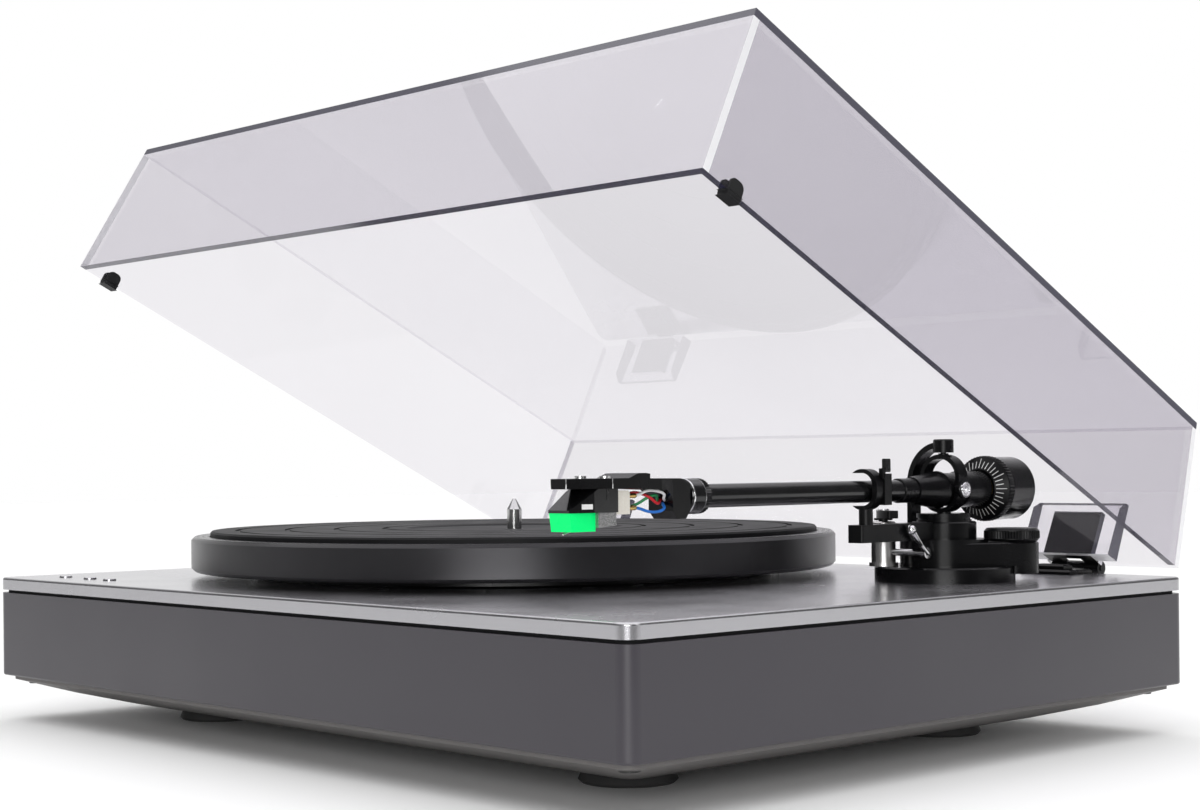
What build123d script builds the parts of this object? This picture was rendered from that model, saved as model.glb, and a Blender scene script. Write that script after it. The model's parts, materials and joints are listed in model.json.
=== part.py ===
from build123d import *
import os
from math import atan, cos, degrees, pi, radians, sin

os.makedirs("parts", exist_ok=True)

# Turntable with a direct-drive platter, a gimbal tonearm and a hinged clear lid, in millimetres.
# X runs across the front, -Y is the front and Z is up from the surface that the feet stand on.
# Pieces are laid out about the middle of the plinth; save() centres the whole object on Y.

# Plinth, from the floor up
plinth_width = 435.0
plinth_depth = 340.0
plinth_corner = 6.0
foot_height = 7.1
pan_height = 14.1
body_height = 39.6
gasket_thickness = 1.45
plate_thickness = 5.75

# Plinth walls and base
body_wall = 18.0
body_edge = 1.0
gasket_inset = 2.0
gasket_width = 24.0
plate_edge = 1.1
pan_rim_inset = 4.0
pan_floor_inset = 45.0
pan_belly = 1.6
pan_wall = 2.5
pan_flange_width = 13.0
pan_flange_thickness = 2.0
foot_radius = 19.0
foot_spread_x = 280.0
foot_spread_y = 190.0
screw_radius = 1.8
screw_head_radius = 3.6
screw_head_height = 2.2
screw_fit = 0.02
thread_bite = 9.0
corner_block_radius = 12.0
corner_screw_inset = 13.0
counterbore_clearance = 0.4
counterbore_wall = 1.6
foot_lip = 1.2
foot_recess = 3.4
foot_taper = 2.5

# Platter and its motor
spindle_x = -44.0
spindle_from_rear = 160.5
spindle_radius = 3.6
shaft_radius = 4.0
spindle_stand = 13.4
spindle_tip_length = 5.0
spindle_tip_radius = 0.8
shaft_fit = 0.03
platter_radius = 152.5
platter_gap = 3.8
platter_thickness = 15.9
platter_edge = 1.6
mat_radius = 143.7
mat_thickness = 3.45
mat_recess = 1.0
mat_clearance = 0.5
label_radius = 50.0
label_depth = 0.8
mat_groove_width = 2.4
mat_groove_depth = 0.6
mat_groove_radii = (62.0, 85.0, 108.0, 131.0)
rotor_radius = 122.0
rotor_gap = 0.8
rotor_skirt_radius = 55.0
rotor_skirt_wall = 3.0
rotor_skirt_depth = 22.0
magnet_thickness = 3.2
magnet_height = 12.0
air_gap = 0.8
motor_hole_clearance = 2.0
stator_height = 8.0
stator_teeth = 9
stator_hub_radius = 20.0
tooth_width = 7.0
coil_thickness = 2.6
bearing_radius = 7.0
bearing_height = 22.0
housing_radius = 11.0
motor_frame_wall = 3.0
motor_frame_rim = 9.0
motor_floor_depth = 30.0

# Push buttons at the front left
button_radius = 3.0
button_proud = 0.9
button_clearance = 0.2
button_travel = 0.8
button_inset = 20.0
button_insets = {"power_button": 29.5, "speed_button_33": 52.5, "speed_button_45": 70.5}
button_flange = 0.8
button_stem_drop = 3.0
switch_board_drop = 8.0
switch_board_thickness = 1.6
switch_pocket_front = 5.5
switch_pocket_margin = 7.0
switch_board_margin = 6.0
switch_board_tail = 10.0
switch_board_front = 4.0
switch_board_back = 22.0
switch_half_width = 3.0
switch_post_radius = 2.6
switch_post_inset = 4.0
switch_post_back = 16.0

# Control board on the floor of the pan
board_x = 60.0
board_y = -85.0
board_half_width = 55.0
board_half_depth = 34.0
board_post_height = 8.0
board_post_radius = 3.0
board_post_inset = 6.0
capacitor_row = 14.0
capacitors = ((-38.0, 8.0, 22.0), (-18.0, 6.0, 16.0), (-2.0, 6.0, 16.0))
transformer_size = (22.0, 20.0, 13.5)
transformer_place = (25.0, 14.0)
processor_size = (40.0, 12.0, 3.5)
processor_place = (-10.0, -18.0)
connector_size = (16.0, 16.0, 6.5)
connector_place = (32.0, -18.0)

# Rear sockets
rear_panel_inset = 122.5
rear_panel_width = 130.0
rear_panel_height = 26.0
rear_panel_thickness = 2.0
socket_radius = 4.2
socket_length = 9.0
socket_tail = 11.0
socket_places = (0.0, 20.0)
inlet_place = -45.0
inlet_bore = 3.2
post_place = 44.0
signal_lead_radius = 1.6
signal_lead_spread = 2.2
signal_lead_level = 30.0

# Tonearm: its pivot, and s along the arm from the pivot towards the cartridge
pivot_inset_x = 65.0
pivot_inset_y = 85.0
arm_turn = 1.2
effective_length = 228.0
arm_axis_height = 39.2
tube_radius = 4.55
tube_wall = 0.7
block_radius = 7.2
block_front = 23.7
block_front_radius = 5.7
sleeve_radius = 5.2
sleeve_end = 33.3
stub_radius = 7.9
stub_end = 24.8
thread_rod_radius = 4.0
thread_rod_end = 47.0

# Gimbal
ring_half_width = 10.2
ring_thickness = 1.9
ring_depth = 6.4
ring_bottom = 29.3
ring_top = 54.4
pivot_screw_radius = 1.5
pivot_screw_head = 3.3
pivot_screw_reach = 6.9
upper_pin_radius = 1.2
lower_shaft_radius = 3.0
bearing_fit = 0.05
bracket_radius = 16.0
bracket_thickness = 2.6
bracket_width = 6.0
bracket_turn = 96.0
bearing_cap_radius = 4.4
bearing_cap_height = 5.8

# Base of the tonearm
base_radius = 30.0
base_height = 6.5
column_radius = 11.0
column_length = 24.0
nut_radius = 17.0
nut_height = 8.0
housing_disc_radius = 19.0
housing_top = 18.0
turret_radius = 13.8
turret_step = 25.5
turret_neck_radius = 11.75
turret_top = 29.0
dial_offset = 20.5
dial_knob_radius = 11.85
dial_knob_bottom = 16.8
dial_knob_top = 22.4
lobe_radius = 11.3
lobe_bottom = 3.0
lobe_top = 16.5

# Counterweight
weight_radius = 14.0
weight_front = 33.3
weight_end = 50.0
weight_nose_radius = 9.5
dial_radius = 14.5
dial_lip_radius = 8.6
dial_front = 25.8
dial_rim = 28.8
dial_back = 33.0
dial_ticks = 36
dial_ribs = 60
tick_width = 0.35
tick_depth = 0.3
sleeve_wall = 2.2
knurl_depth = 0.35

# Arm rest
clip_place = 54.5
clip_depth = 5.0
clip_half_width = 7.8
clip_bottom = 31.6
clip_top = 48.6
clip_wall = 1.5
clip_mouth_half_width = 5.3
rest_bracket_half_width = 4.0
rest_bracket_end = 60.5
rest_bracket_top = 25.4
rest_post_radius = 2.9
latch_width = 3.6
latch_thickness = 2.0
latch_pivot_side = 7.1
latch_pivot_height = 48.4
latch_top = 52.8
latch_pin_radius = 0.7

# Cueing lift
lift_along = 21.0
lift_side = -16.5
lift_radius = 5.2
lift_bottom = 6.5
lift_top = 25.8
lift_rod_radius = 2.0
lift_pad_inner = 23.6
lift_pad_outer = 29.0
lift_pad_first = 16.0
lift_pad_last = 62.0
lift_pad_bottom = 27.2
lift_pad_top = 30.5
cue_axis_height = 12.6
cue_shaft_radius = 1.5
cue_shaft_end = 6.6
cue_lever_reach = 15.5
cue_lever_tilt = 45.0
cue_ball_radius = 2.1

# Headshell and cartridge
collar_front = 166.6
collar_back = 154.6
collar_radius = 6.75
collar_ribs = 36
knurl_start = 1.8
knurl_end = 4.8
headshell_plate_top = 46.5
headshell_plate_bottom = 42.8
headshell_half_width = 8.3
headshell_nose = 230.0
headshell_nose_half_width = 3.8
headshell_shoulder = 211.0
headshell_neck_end = 177.5
headshell_neck_bottom = 31.0
headshell_neck_half_width = 6.3
cartridge_half_width = 7.5
cartridge_back = 207.5
cartridge_top_front = 219.5
cartridge_nose = 230.0
cartridge_bottom = 34.3
terminal_back = 200.5
stylus_half_width = 5.4
stylus_back = 217.0
stylus_front = 229.6
stylus_bottom = 27.6
tip_height = 26.2
screw_spacing = 12.7
mounting_hole_radius = 1.3
mounting_hole_depth = 4.0
mounting_screw_place = 213.0
lead_radius = 0.45

# Lid, drawn closed and then opened about its hinge to the angle in the photograph
lid_width = 424.8
lid_depth = 336.0
lid_height = 69.7
lid_sheet = 3.3
lid_side_taper = 6.0
lid_end_taper = 4.3
lid_gap = 2.5
lid_overhang = 3.6
lid_open_angle = 26.3
hinge_spread = 320.0
hinge_axis_behind = 1.9
hinge_axis_height = 2.0
hinge_foot_half_width = 13.0
hinge_foot_front = 21.0
hinge_foot_rear = 3.0
hinge_foot_height = 2.1
hinge_boss_half_width = 8.0
hinge_boss_height = 4.4
knuckle_radius = 3.2
hinge_pin_radius = 1.4
knuckle_half_length = 5.0
knuckle_gap = 0.3
blade_half_width = 12.5
blade_thickness = 3.0
pocket_half_width = 23.0
pocket_thickness = 8.0
pocket_height = 27.0
notch_clearance = 1.0
bumper_from_front = 19.0
bumper_length = 14.0
bumper_height = 8.0
bumper_wall = 1.3

# Levels and places that follow from the sizes above
spindle_y = plinth_depth / 2 - spindle_from_rear
rear_panel_x = plinth_width / 2 - rear_panel_inset
button_y = button_inset - plinth_depth / 2
button_places = {name: inset - plinth_width / 2 for name, inset in button_insets.items()}
pivot_x = plinth_width / 2 - pivot_inset_x
pivot_y = plinth_depth / 2 - pivot_inset_y
body_bottom = foot_height + pan_height
gasket_bottom = body_bottom + body_height
plate_bottom = gasket_bottom + gasket_thickness
plate_top = plate_bottom + plate_thickness
lid_rear = plinth_depth / 2 + lid_overhang
lid_front = lid_rear - lid_depth
hinge_y = lid_rear + hinge_axis_behind
hinge_z = plate_top + hinge_axis_height
platter_bottom = plate_top + platter_gap
platter_top = platter_bottom + platter_thickness
mat_top = platter_top - mat_recess + mat_thickness
arm_heading = arm_turn - 90.0
upper_rear_y = lid_rear - lid_end_taper - hinge_y
upper_rear_z = plate_top + lid_gap + lid_height - hinge_z
motor_hole_radius = rotor_skirt_radius + motor_hole_clearance
motor_frame_radius = motor_hole_radius + motor_frame_rim
motor_floor = plate_top - motor_floor_depth
stator_middle = plate_top - rotor_skirt_depth / 2 - 3.0
stator_radius = rotor_skirt_radius - rotor_skirt_wall - magnet_thickness - air_gap
bearing_top = plate_top - 2.0
rotor_bottom = plate_top + rotor_gap
panel_middle_z = body_bottom + body_height / 2
switch_board_top = plate_bottom - switch_board_drop
cartridge_top = headshell_plate_bottom
pin_end = terminal_back - 5.5
pin_places = ((-3.6, 40.0), (3.6, 40.0), (-3.6, 35.6), (3.6, 35.6))
cone_rate = (dial_rim - dial_front) / (dial_radius - knurl_depth - dial_lip_radius)
cone_slope = atan(cone_rate)
corner_x = plinth_width / 2 - corner_screw_inset
corner_y = plinth_depth / 2 - corner_screw_inset
corner_screw_places = [(side * corner_x, end * corner_y) for side in (-1, 1) for end in (-1, 1)]
foot_places = [(side * foot_spread_x / 2, end * foot_spread_y / 2) for side in (-1, 1) for end in (-1, 1)]
object_rear = (hinge_y + upper_rear_y * cos(radians(lid_open_angle))
               + upper_rear_z * sin(radians(lid_open_angle)))
centre_y = (object_rear - plinth_depth / 2) / 2

from_floor = (Align.CENTER, Align.CENTER, Align.MIN)
to_level = (Align.CENTER, Align.CENTER, Align.MAX)
lobe_place = Pos(-dial_offset, dial_offset, 0)
lift_place = Pos(lift_along, lift_side, 0)


def save(name, *shapes):
    """Write one sub-part, moved so that the object stands centred on the origin."""
    placed = [Pos(0, -centre_y, 0) * solid for shape in shapes for solid in shape.solids()]
    export_step(placed[0] if len(placed) == 1 else Compound(placed), f"parts/{name}.step")


def disc(radius, bottom, top):
    """A round bar along Z between two levels."""
    return Pos(0, 0, bottom) * Cylinder(radius, top - bottom, align=from_floor)


def ring(outer, inner, bottom, top):
    """A tube along Z between two levels."""
    return disc(outer, bottom, top) - disc(inner, bottom, top)


def block(x_low, x_high, y_low, y_high, z_low, z_high):
    """A rectangular block between its two corners."""
    middle = ((x_low + x_high) / 2, (y_low + y_high) / 2, (z_low + z_high) / 2)
    return Pos(*middle) * Box(x_high - x_low, y_high - y_low, z_high - z_low)


def rounded_slab(width, depth, corner, bottom, top):
    """A slab with rounded upright corners."""
    return Pos(0, 0, bottom) * extrude(RectangleRounded(width, depth, corner), top - bottom)


def turned(*points):
    """A body turned about Z from a closed outline of (radius, height) points."""
    return revolve(Plane.XZ * make_face(Polyline(*points, close=True)), Axis.Z)


def along_arm(shape):
    """Lay a body turned about Z along the arm's own X axis."""
    return Rot(0, 90, 0) * shape


def side_profile(points, half_width):
    """Extrude an outline of (s, height) points to both sides of the arm's middle plane."""
    face = Plane.XZ * make_face(Polyline(*points, close=True))
    return extrude(face, half_width, both=True)


def across_arm(radius, near, far):
    """A round bar along the arm's own Y axis."""
    return Pos(0, far, 0) * Rot(90, 0, 0) * Cylinder(radius, far - near, align=from_floor)


def fluted(radius, depth, count, bottom, top):
    """A disc whose rim is cut into fine upright ribs."""
    points = []
    for index in range(2 * count):
        reach = radius - depth * (index % 2)
        angle = pi * index / count
        points.append((reach * cos(angle), reach * sin(angle)))
    return Pos(0, 0, bottom) * extrude(make_face(Polyline(*points, close=True)), top - bottom)


def on_spindle(shape):
    """Place a body drawn about the spindle axis."""
    return Pos(spindle_x, spindle_y, 0) * shape


def on_base(shape):
    """Place a body drawn about the arm's pivot, X forwards and heights from the plate's top."""
    return Pos(pivot_x, pivot_y, plate_top) * Rot(0, 0, -90) * shape


def on_arm(shape):
    """Place a body drawn in the arm's own frame, s along X and heights from the plate's top."""
    return Pos(pivot_x, pivot_y, plate_top) * Rot(0, 0, arm_heading) * shape


def on_axis(shape):
    """Place a body drawn about the arm tube's axis, s along X."""
    return on_arm(Pos(0, 0, arm_axis_height) * shape)


def open_lid(shape):
    """Turn a body drawn on the closed lid about the hinge to its open angle."""
    return Pos(0, hinge_y, hinge_z) * Rot(-lid_open_angle, 0, 0) * Pos(0, -hinge_y, -hinge_z) * shape


def round_path(points, radius, bends):
    """A round lead swept along straight runs that join in tangent arcs."""
    path = FilletPolyline(*points, radius=bends)
    start = path @ 0
    section = Plane(origin=start, z_dir=path % 0) * Circle(radius)
    return sweep(section, path)


# Plinth body with its corner blocks and the window for the rear panel
def plinth_body():
    body = rounded_slab(plinth_width, plinth_depth, plinth_corner, body_bottom, gasket_bottom)
    body = fillet(body.edges().filter_by(Plane.XY).group_by(Axis.Z)[0], body_edge)
    hollow = rounded_slab(plinth_width - 2 * body_wall, plinth_depth - 2 * body_wall, plinth_corner,
                          body_bottom, gasket_bottom)
    body -= hollow
    for x, y in corner_screw_places:
        body += Pos(x, y, 0) * (disc(corner_block_radius, body_bottom, gasket_bottom))
    window = block(rear_panel_x - rear_panel_width / 2 + body_wall / 2,
                   rear_panel_x + rear_panel_width / 2 - body_wall / 2,
                   plinth_depth / 2 - body_wall, plinth_depth / 2,
                   panel_middle_z - rear_panel_height / 2 + 3, panel_middle_z + rear_panel_height / 2 - 3)
    seat = block(rear_panel_x - rear_panel_width / 2, rear_panel_x + rear_panel_width / 2,
                 plinth_depth / 2 - rear_panel_thickness, plinth_depth / 2,
                 panel_middle_z - rear_panel_height / 2, panel_middle_z + rear_panel_height / 2)
    body -= window
    body -= seat
    body -= switch_pocket(switch_board_top - 2 * switch_board_thickness, gasket_bottom)
    for x, y in corner_screw_places:
        body -= Pos(x, y, 0) * disc(screw_radius, body_bottom, body_bottom + thread_bite)
    return body


def switch_pocket(bottom, top):
    """The room for the push buttons and their board behind the front wall."""
    xs = list(button_places.values())
    return block(min(xs) - switch_pocket_margin, max(xs) + 2 * switch_pocket_margin,
                 button_y - switch_pocket_front, -plinth_depth / 2 + gasket_width + 1, bottom, top)


def pan_section(inset, level):
    """One level of the pan's outline, drawn in from the body's sides."""
    width = plinth_width - 2 * inset
    depth = plinth_depth - 2 * inset
    return Pos(0, 0, level) * RectangleRounded(width, depth, plinth_corner)


# Base pan: a tray whose sides slope in under the body and swell a little on the way
def base_pan():
    middle_inset = (pan_rim_inset + pan_floor_inset) / 2
    middle_level = foot_height + pan_height / 2 - pan_belly
    rim_level = body_bottom - pan_flange_thickness
    outer = loft([pan_section(pan_floor_inset, foot_height), pan_section(middle_inset, middle_level),
                  pan_section(pan_rim_inset, rim_level)], ruled=True)
    inner = loft([pan_section(pan_floor_inset + pan_wall, foot_height + pan_wall),
                  pan_section(middle_inset + pan_wall, middle_level + pan_wall),
                  pan_section(pan_rim_inset + 3 * pan_wall, rim_level)], ruled=True)
    pan = outer - inner
    pan += Pos(0, 0, rim_level) * extrude(
        RectangleRounded(plinth_width - 2 * pan_rim_inset, plinth_depth - 2 * pan_rim_inset, plinth_corner)
        - RectangleRounded(plinth_width - 2 * (pan_rim_inset + pan_flange_width),
                           plinth_depth - 2 * (pan_rim_inset + pan_flange_width), plinth_corner),
        pan_flange_thickness)
    counterbore = screw_head_radius + counterbore_clearance
    for x, y in corner_screw_places:
        pan += Pos(x, y, 0) * disc(counterbore + counterbore_wall, foot_height, rim_level) & outer
    for x, y in corner_screw_places:
        pan -= Pos(x, y, 0) * disc(counterbore, foot_height, rim_level)
        pan -= Pos(x, y, 0) * disc(screw_radius, rim_level, body_bottom)
    for x, y in foot_places:
        pan -= Pos(x, y, 0) * disc(screw_radius, foot_height, foot_height + pan_wall)
    return pan


def foot():
    """A tapered rubber foot with a recess for its screw."""
    recess_radius = screw_head_radius + 1.0
    return turned((screw_radius, foot_recess), (recess_radius, foot_recess), (recess_radius, 0),
                  (foot_radius - foot_lip, 0), (foot_radius, foot_lip),
                  (foot_radius - foot_taper, foot_height), (screw_radius, foot_height))


def foot_screw():
    """A round-headed screw that comes up through a foot into a nut inside the pan."""
    nut_thickness = 3.0
    floor = foot_height + pan_wall
    screw = disc(screw_head_radius, foot_recess - screw_head_height, foot_recess)
    screw += disc(screw_radius - screw_fit, foot_recess, floor + nut_thickness + 1.0)
    nut = Pos(0, 0, floor) * extrude(RegularPolygon(screw_head_radius, 6), nut_thickness)
    return screw + nut


def pan_screw():
    """A round-headed screw that comes up through the pan's flange into the body."""
    seat = body_bottom - pan_flange_thickness
    screw = disc(screw_head_radius, seat - screw_head_height, seat)
    return screw + disc(screw_radius - screw_fit, seat, body_bottom + thread_bite - 1.0)


# Damping gasket and the metal top plate
def plate_gasket():
    gasket = rounded_slab(plinth_width - 2 * gasket_inset, plinth_depth - 2 * gasket_inset,
                          plinth_corner, gasket_bottom, plate_bottom)
    gasket -= rounded_slab(plinth_width - 2 * gasket_width, plinth_depth - 2 * gasket_width,
                           plinth_corner, gasket_bottom, plate_bottom)
    return gasket - switch_pocket(gasket_bottom, plate_bottom)


def top_plate():
    plate = rounded_slab(plinth_width, plinth_depth, plinth_corner, plate_bottom, plate_top)
    plate = fillet(plate.edges().filter_by(Plane.XY).group_by(Axis.Z)[-1], plate_edge)
    plate -= on_spindle(disc(motor_hole_radius, plate_bottom, plate_top))
    plate -= Pos(pivot_x, pivot_y, 0) * disc(column_radius + 0.3, plate_bottom, plate_top)
    for x in button_places.values():
        plate -= Pos(x, button_y, 0) * disc(button_radius + button_clearance, plate_bottom, plate_top)
    return plate


# Direct-drive motor: the frame hangs from the plate, the stator stands on it round the bearing
def motor_frame():
    frame = ring(motor_frame_radius, motor_hole_radius + 2.0, motor_floor, plate_bottom)
    frame += disc(motor_frame_radius, motor_floor - motor_frame_wall, motor_floor)
    frame += ring(housing_radius, bearing_radius, motor_floor, bearing_top - bearing_height / 2)
    return on_spindle(frame - disc(bearing_radius, motor_floor, plate_top))


def stator_tooth(angle):
    """One pole of the stator, from the hub to the wide shoe beside the magnet."""
    shoe = 3.0
    stem = block(stator_hub_radius - 2, stator_radius - shoe + 1, -tooth_width / 2, tooth_width / 2,
                 stator_middle - stator_height / 2, stator_middle + stator_height / 2)
    head = block(stator_radius - shoe, stator_radius - 1, -1.6 * tooth_width, 1.6 * tooth_width,
                 stator_middle - stator_height / 2, stator_middle + stator_height / 2)
    return Rot(0, 0, angle) * (stem + head)


def stator_coil(angle):
    """The winding block round one pole."""
    start = stator_hub_radius + 3
    stop = stator_radius - 6
    half = tooth_width / 2 + 0.2
    low = stator_middle - stator_height / 2 - 0.2
    high = stator_middle + stator_height / 2 + 0.2
    outer = block(start, stop, -half - coil_thickness, half + coil_thickness,
                  low - coil_thickness, high + coil_thickness)
    return Rot(0, 0, angle) * (outer - block(start, stop, -half, half, low, high))


def motor_stator():
    core = ring(stator_hub_radius, housing_radius, stator_middle - stator_height / 2,
                stator_middle + stator_height / 2)
    turns = [360 * index / stator_teeth for index in range(stator_teeth)]
    for angle in turns:
        core += stator_tooth(angle)
    return [on_spindle(core)] + [on_spindle(stator_coil(angle)) for angle in turns]


def spindle_bearing():
    bore = shaft_radius + shaft_fit
    return on_spindle(ring(bearing_radius, bore, bearing_top - bearing_height, bearing_top))


# What turns: rotor with its magnet, platter, mat and spindle
def drive_rotor():
    rotor = disc(rotor_radius, rotor_bottom, platter_bottom)
    rotor += ring(rotor_skirt_radius, rotor_skirt_radius - rotor_skirt_wall,
                  rotor_bottom - rotor_skirt_depth, rotor_bottom)
    rotor -= disc(shaft_radius, rotor_bottom, platter_bottom)
    magnet_outer = rotor_skirt_radius - rotor_skirt_wall
    magnet = ring(magnet_outer, magnet_outer - magnet_thickness,
                  stator_middle - magnet_height / 2, stator_middle + magnet_height / 2)
    return [on_spindle(rotor), on_spindle(magnet)]


def platter():
    groove_inner = rotor_radius + 4
    groove_outer = platter_radius - 11
    groove_top = platter_bottom + platter_thickness / 2
    recess = mat_radius + mat_clearance
    edge = platter_edge
    outline = [(shaft_radius, platter_bottom), (groove_inner, platter_bottom), (groove_inner, groove_top),
               (groove_outer, groove_top), (groove_outer, platter_bottom),
               (platter_radius - edge, platter_bottom), (platter_radius, platter_bottom + edge),
               (platter_radius, platter_top - edge), (platter_radius - edge, platter_top),
               (recess, platter_top), (recess, platter_top - mat_recess),
               (shaft_radius, platter_top - mat_recess)]
    return on_spindle(turned(*outline))


def platter_mat():
    bottom = platter_top - mat_recess
    outline = [(shaft_radius + 0.2, bottom), (mat_radius, bottom), (mat_radius, mat_top - 0.8),
               (mat_radius - 0.8, mat_top)]
    for radius in reversed(mat_groove_radii):
        outline += [(radius + mat_groove_width / 2, mat_top),
                    (radius + mat_groove_width / 2, mat_top - mat_groove_depth),
                    (radius - mat_groove_width / 2, mat_top - mat_groove_depth),
                    (radius - mat_groove_width / 2, mat_top)]
    outline += [(label_radius + 2, mat_top), (label_radius, mat_top - label_depth),
                (shaft_radius + 0.2, mat_top - label_depth)]
    return on_spindle(turned(*outline))


def spindle():
    tip = mat_top + spindle_stand
    bottom = motor_floor + 0.6
    shoulder = mat_top - label_depth
    return on_spindle(turned((0, bottom), (shaft_radius, bottom), (shaft_radius, shoulder),
                             (spindle_radius, shoulder), (spindle_radius, tip - spindle_tip_length),
                             (spindle_tip_radius, tip), (0, tip)))


# Push buttons and the small board of switches under them
def push_button(x):
    stem_radius = 1.4
    button = disc(button_radius, plate_top - 3.0, plate_top + button_proud)
    button = chamfer(button.edges().group_by(Axis.Z)[-1], 0.3)
    button += disc(button_radius + button_flange, plate_bottom - button_stem_drop,
                   plate_bottom - button_travel - 0.2)
    button += disc(stem_radius, plate_bottom - button_stem_drop, plate_top - 2.0)
    return Pos(x, button_y, 0) * button


def switch_board():
    xs = list(button_places.values())
    board = block(min(xs) - switch_board_margin, max(xs) + switch_board_tail,
                  button_y - switch_board_front, button_y + switch_board_back,
                  switch_board_top - switch_board_thickness, switch_board_top)
    half = switch_half_width
    for x in xs:
        board += block(x - half, x + half, button_y - half, button_y + half,
                       switch_board_top, plate_bottom - button_stem_drop - button_travel - 0.3)
    for x in (min(xs) + switch_post_inset, max(xs) - switch_post_inset):
        post = disc(switch_post_radius, switch_board_top, plate_bottom)
        board += Pos(x, button_y + switch_post_back, 0) * post
    return board


def control_board():
    """The drive and power circuit, standing on four posts on the floor of the pan."""
    floor = foot_height + pan_wall
    level = floor + board_post_height
    top = level + switch_board_thickness
    board = block(-board_half_width, board_half_width, -board_half_depth, board_half_depth, level, top)
    post_x = board_half_width - board_post_inset
    post_y = board_half_depth - board_post_inset
    for x, y in ((-post_x, -post_y), (-post_x, post_y), (post_x, -post_y), (post_x, post_y)):
        board += Pos(x, y, 0) * disc(board_post_radius, floor, level)
    for x, radius, height in capacitors:
        board += Pos(x, capacitor_row, 0) * disc(radius, top, top + height)
    for place, size in ((transformer_place, transformer_size), (processor_place, processor_size),
                        (connector_place, connector_size)):
        board += Pos(*place, top) * Box(*size, align=from_floor)
    return Pos(board_x, board_y, 0) * board


# Rear panel with its sockets
def facing_back(shape):
    """Lay a body turned about Z along +Y on the rear panel's inner face."""
    return Pos(rear_panel_x, plinth_depth / 2 - rear_panel_thickness, panel_middle_z) * Rot(-90, 0, 0) * shape


def rear_panel():
    panel = block(rear_panel_x - rear_panel_width / 2, rear_panel_x + rear_panel_width / 2,
                  plinth_depth / 2 - rear_panel_thickness, plinth_depth / 2,
                  panel_middle_z - rear_panel_height / 2, panel_middle_z + rear_panel_height / 2)
    thickness = rear_panel_thickness
    for place in socket_places:
        panel -= facing_back(Pos(place, 0, 0) * disc(socket_radius + 1.5, 0, thickness))
    panel -= facing_back(Pos(inlet_place, 0, 0) * disc(inlet_bore + 2.0, 0, thickness))
    panel -= facing_back(Pos(post_place, 0, 0) * disc(2.0, 0, thickness))
    return panel


def output_socket(place):
    """A phono socket: flange, barrel, centre contact hole and the tail inside."""
    flange = disc(socket_radius + 1.5, -3.0, rear_panel_thickness + 1.0)
    barrel = disc(socket_radius, rear_panel_thickness + 1.0, rear_panel_thickness + socket_length)
    tail = disc(2.2, -socket_tail, -3.0)
    hole = disc(1.6, rear_panel_thickness + 1.5, rear_panel_thickness + socket_length)
    return facing_back(Pos(place, 0, 0) * (flange + barrel + tail - hole))


def power_inlet():
    barrel = disc(inlet_bore + 2.0, -2.0, rear_panel_thickness + 1.0)
    barrel += block(-6, 6, -6, 6, -14, -2)
    barrel -= disc(inlet_bore, -9.0, rear_panel_thickness + 1.0)
    barrel += disc(1.0, -9.5, rear_panel_thickness - 0.5)
    return facing_back(Pos(inlet_place, 0, 0) * barrel)


def ground_post():
    post = disc(2.0, -6.0, rear_panel_thickness + 9.0)
    post += fluted(4.6, 0.5, 16, rear_panel_thickness + 2.5, rear_panel_thickness + 8.0)
    post += disc(3.6, rear_panel_thickness, rear_panel_thickness + 1.2)
    return facing_back(Pos(post_place, 0, 0) * post)


def signal_leads():
    """Two screened leads from the arm's column to the output sockets."""
    leads = []
    tail_end = plinth_depth / 2 - rear_panel_thickness - socket_tail
    for side, place in zip((-1, 1), socket_places):
        x = pivot_x + side * signal_lead_spread
        socket_x = rear_panel_x + place
        points = [(x, pivot_y, plate_top - column_length + 6), (x, pivot_y, signal_lead_level),
                  (socket_x, tail_end - 27, signal_lead_level), (socket_x, tail_end - 11, panel_middle_z),
                  (socket_x, tail_end, panel_middle_z)]
        leads.append(round_path(points, signal_lead_radius, 5.0))
    return leads


# Base of the tonearm
def arm_base():
    base = disc(base_radius, 0, base_height)
    base = chamfer(base.edges().group_by(Axis.Z)[-1], 0.7)
    base += disc(column_radius, -column_length, 0.5)
    bore_radius = 4.6
    return on_base(base - disc(bore_radius, -column_length, base_height))


def arm_base_nut():
    top = plate_bottom - plate_top
    nut = Pos(0, 0, top - nut_height) * extrude(RegularPolygon(nut_radius, 6), nut_height)
    return on_base(nut - disc(column_radius, top - nut_height, top))


def arm_housing():
    """The casting on the base, with the lobe that carries the side-force dial."""
    outline = make_hull((Circle(housing_disc_radius) + lobe_place * Circle(lobe_radius)).edges())
    housing = Pos(0, 0, base_height) * extrude(outline, lobe_top - base_height)
    housing = chamfer(housing.edges().group_by(Axis.Z)[-1], 0.5)
    housing += disc(housing_disc_radius, base_height, housing_top)
    skirt = lobe_place * disc(lobe_radius, lobe_bottom, base_height + 1)
    skirt -= disc(base_radius + 0.3, 0, base_height)
    housing += skirt
    housing -= disc(lower_shaft_radius + 2, base_height, housing_top)
    housing -= lobe_place * disc(2.0, lobe_top - 6, lobe_top)
    housing -= lobe_place * disc(dial_knob_radius + 0.4, lobe_top, housing_top)
    return on_base(housing)


def arm_turret():
    turret = disc(turret_radius, housing_top, turret_step)
    turret = chamfer(turret.edges().group_by(Axis.Z)[-1], 0.6)
    turret += disc(turret_neck_radius, turret_step, turret_top)
    turret -= ring(turret_neck_radius + 1, turret_neck_radius - 0.6, turret_step + 0.8, turret_step + 1.6)
    return on_base(turret - disc(lower_shaft_radius + bearing_fit, housing_top, turret_top))


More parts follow.
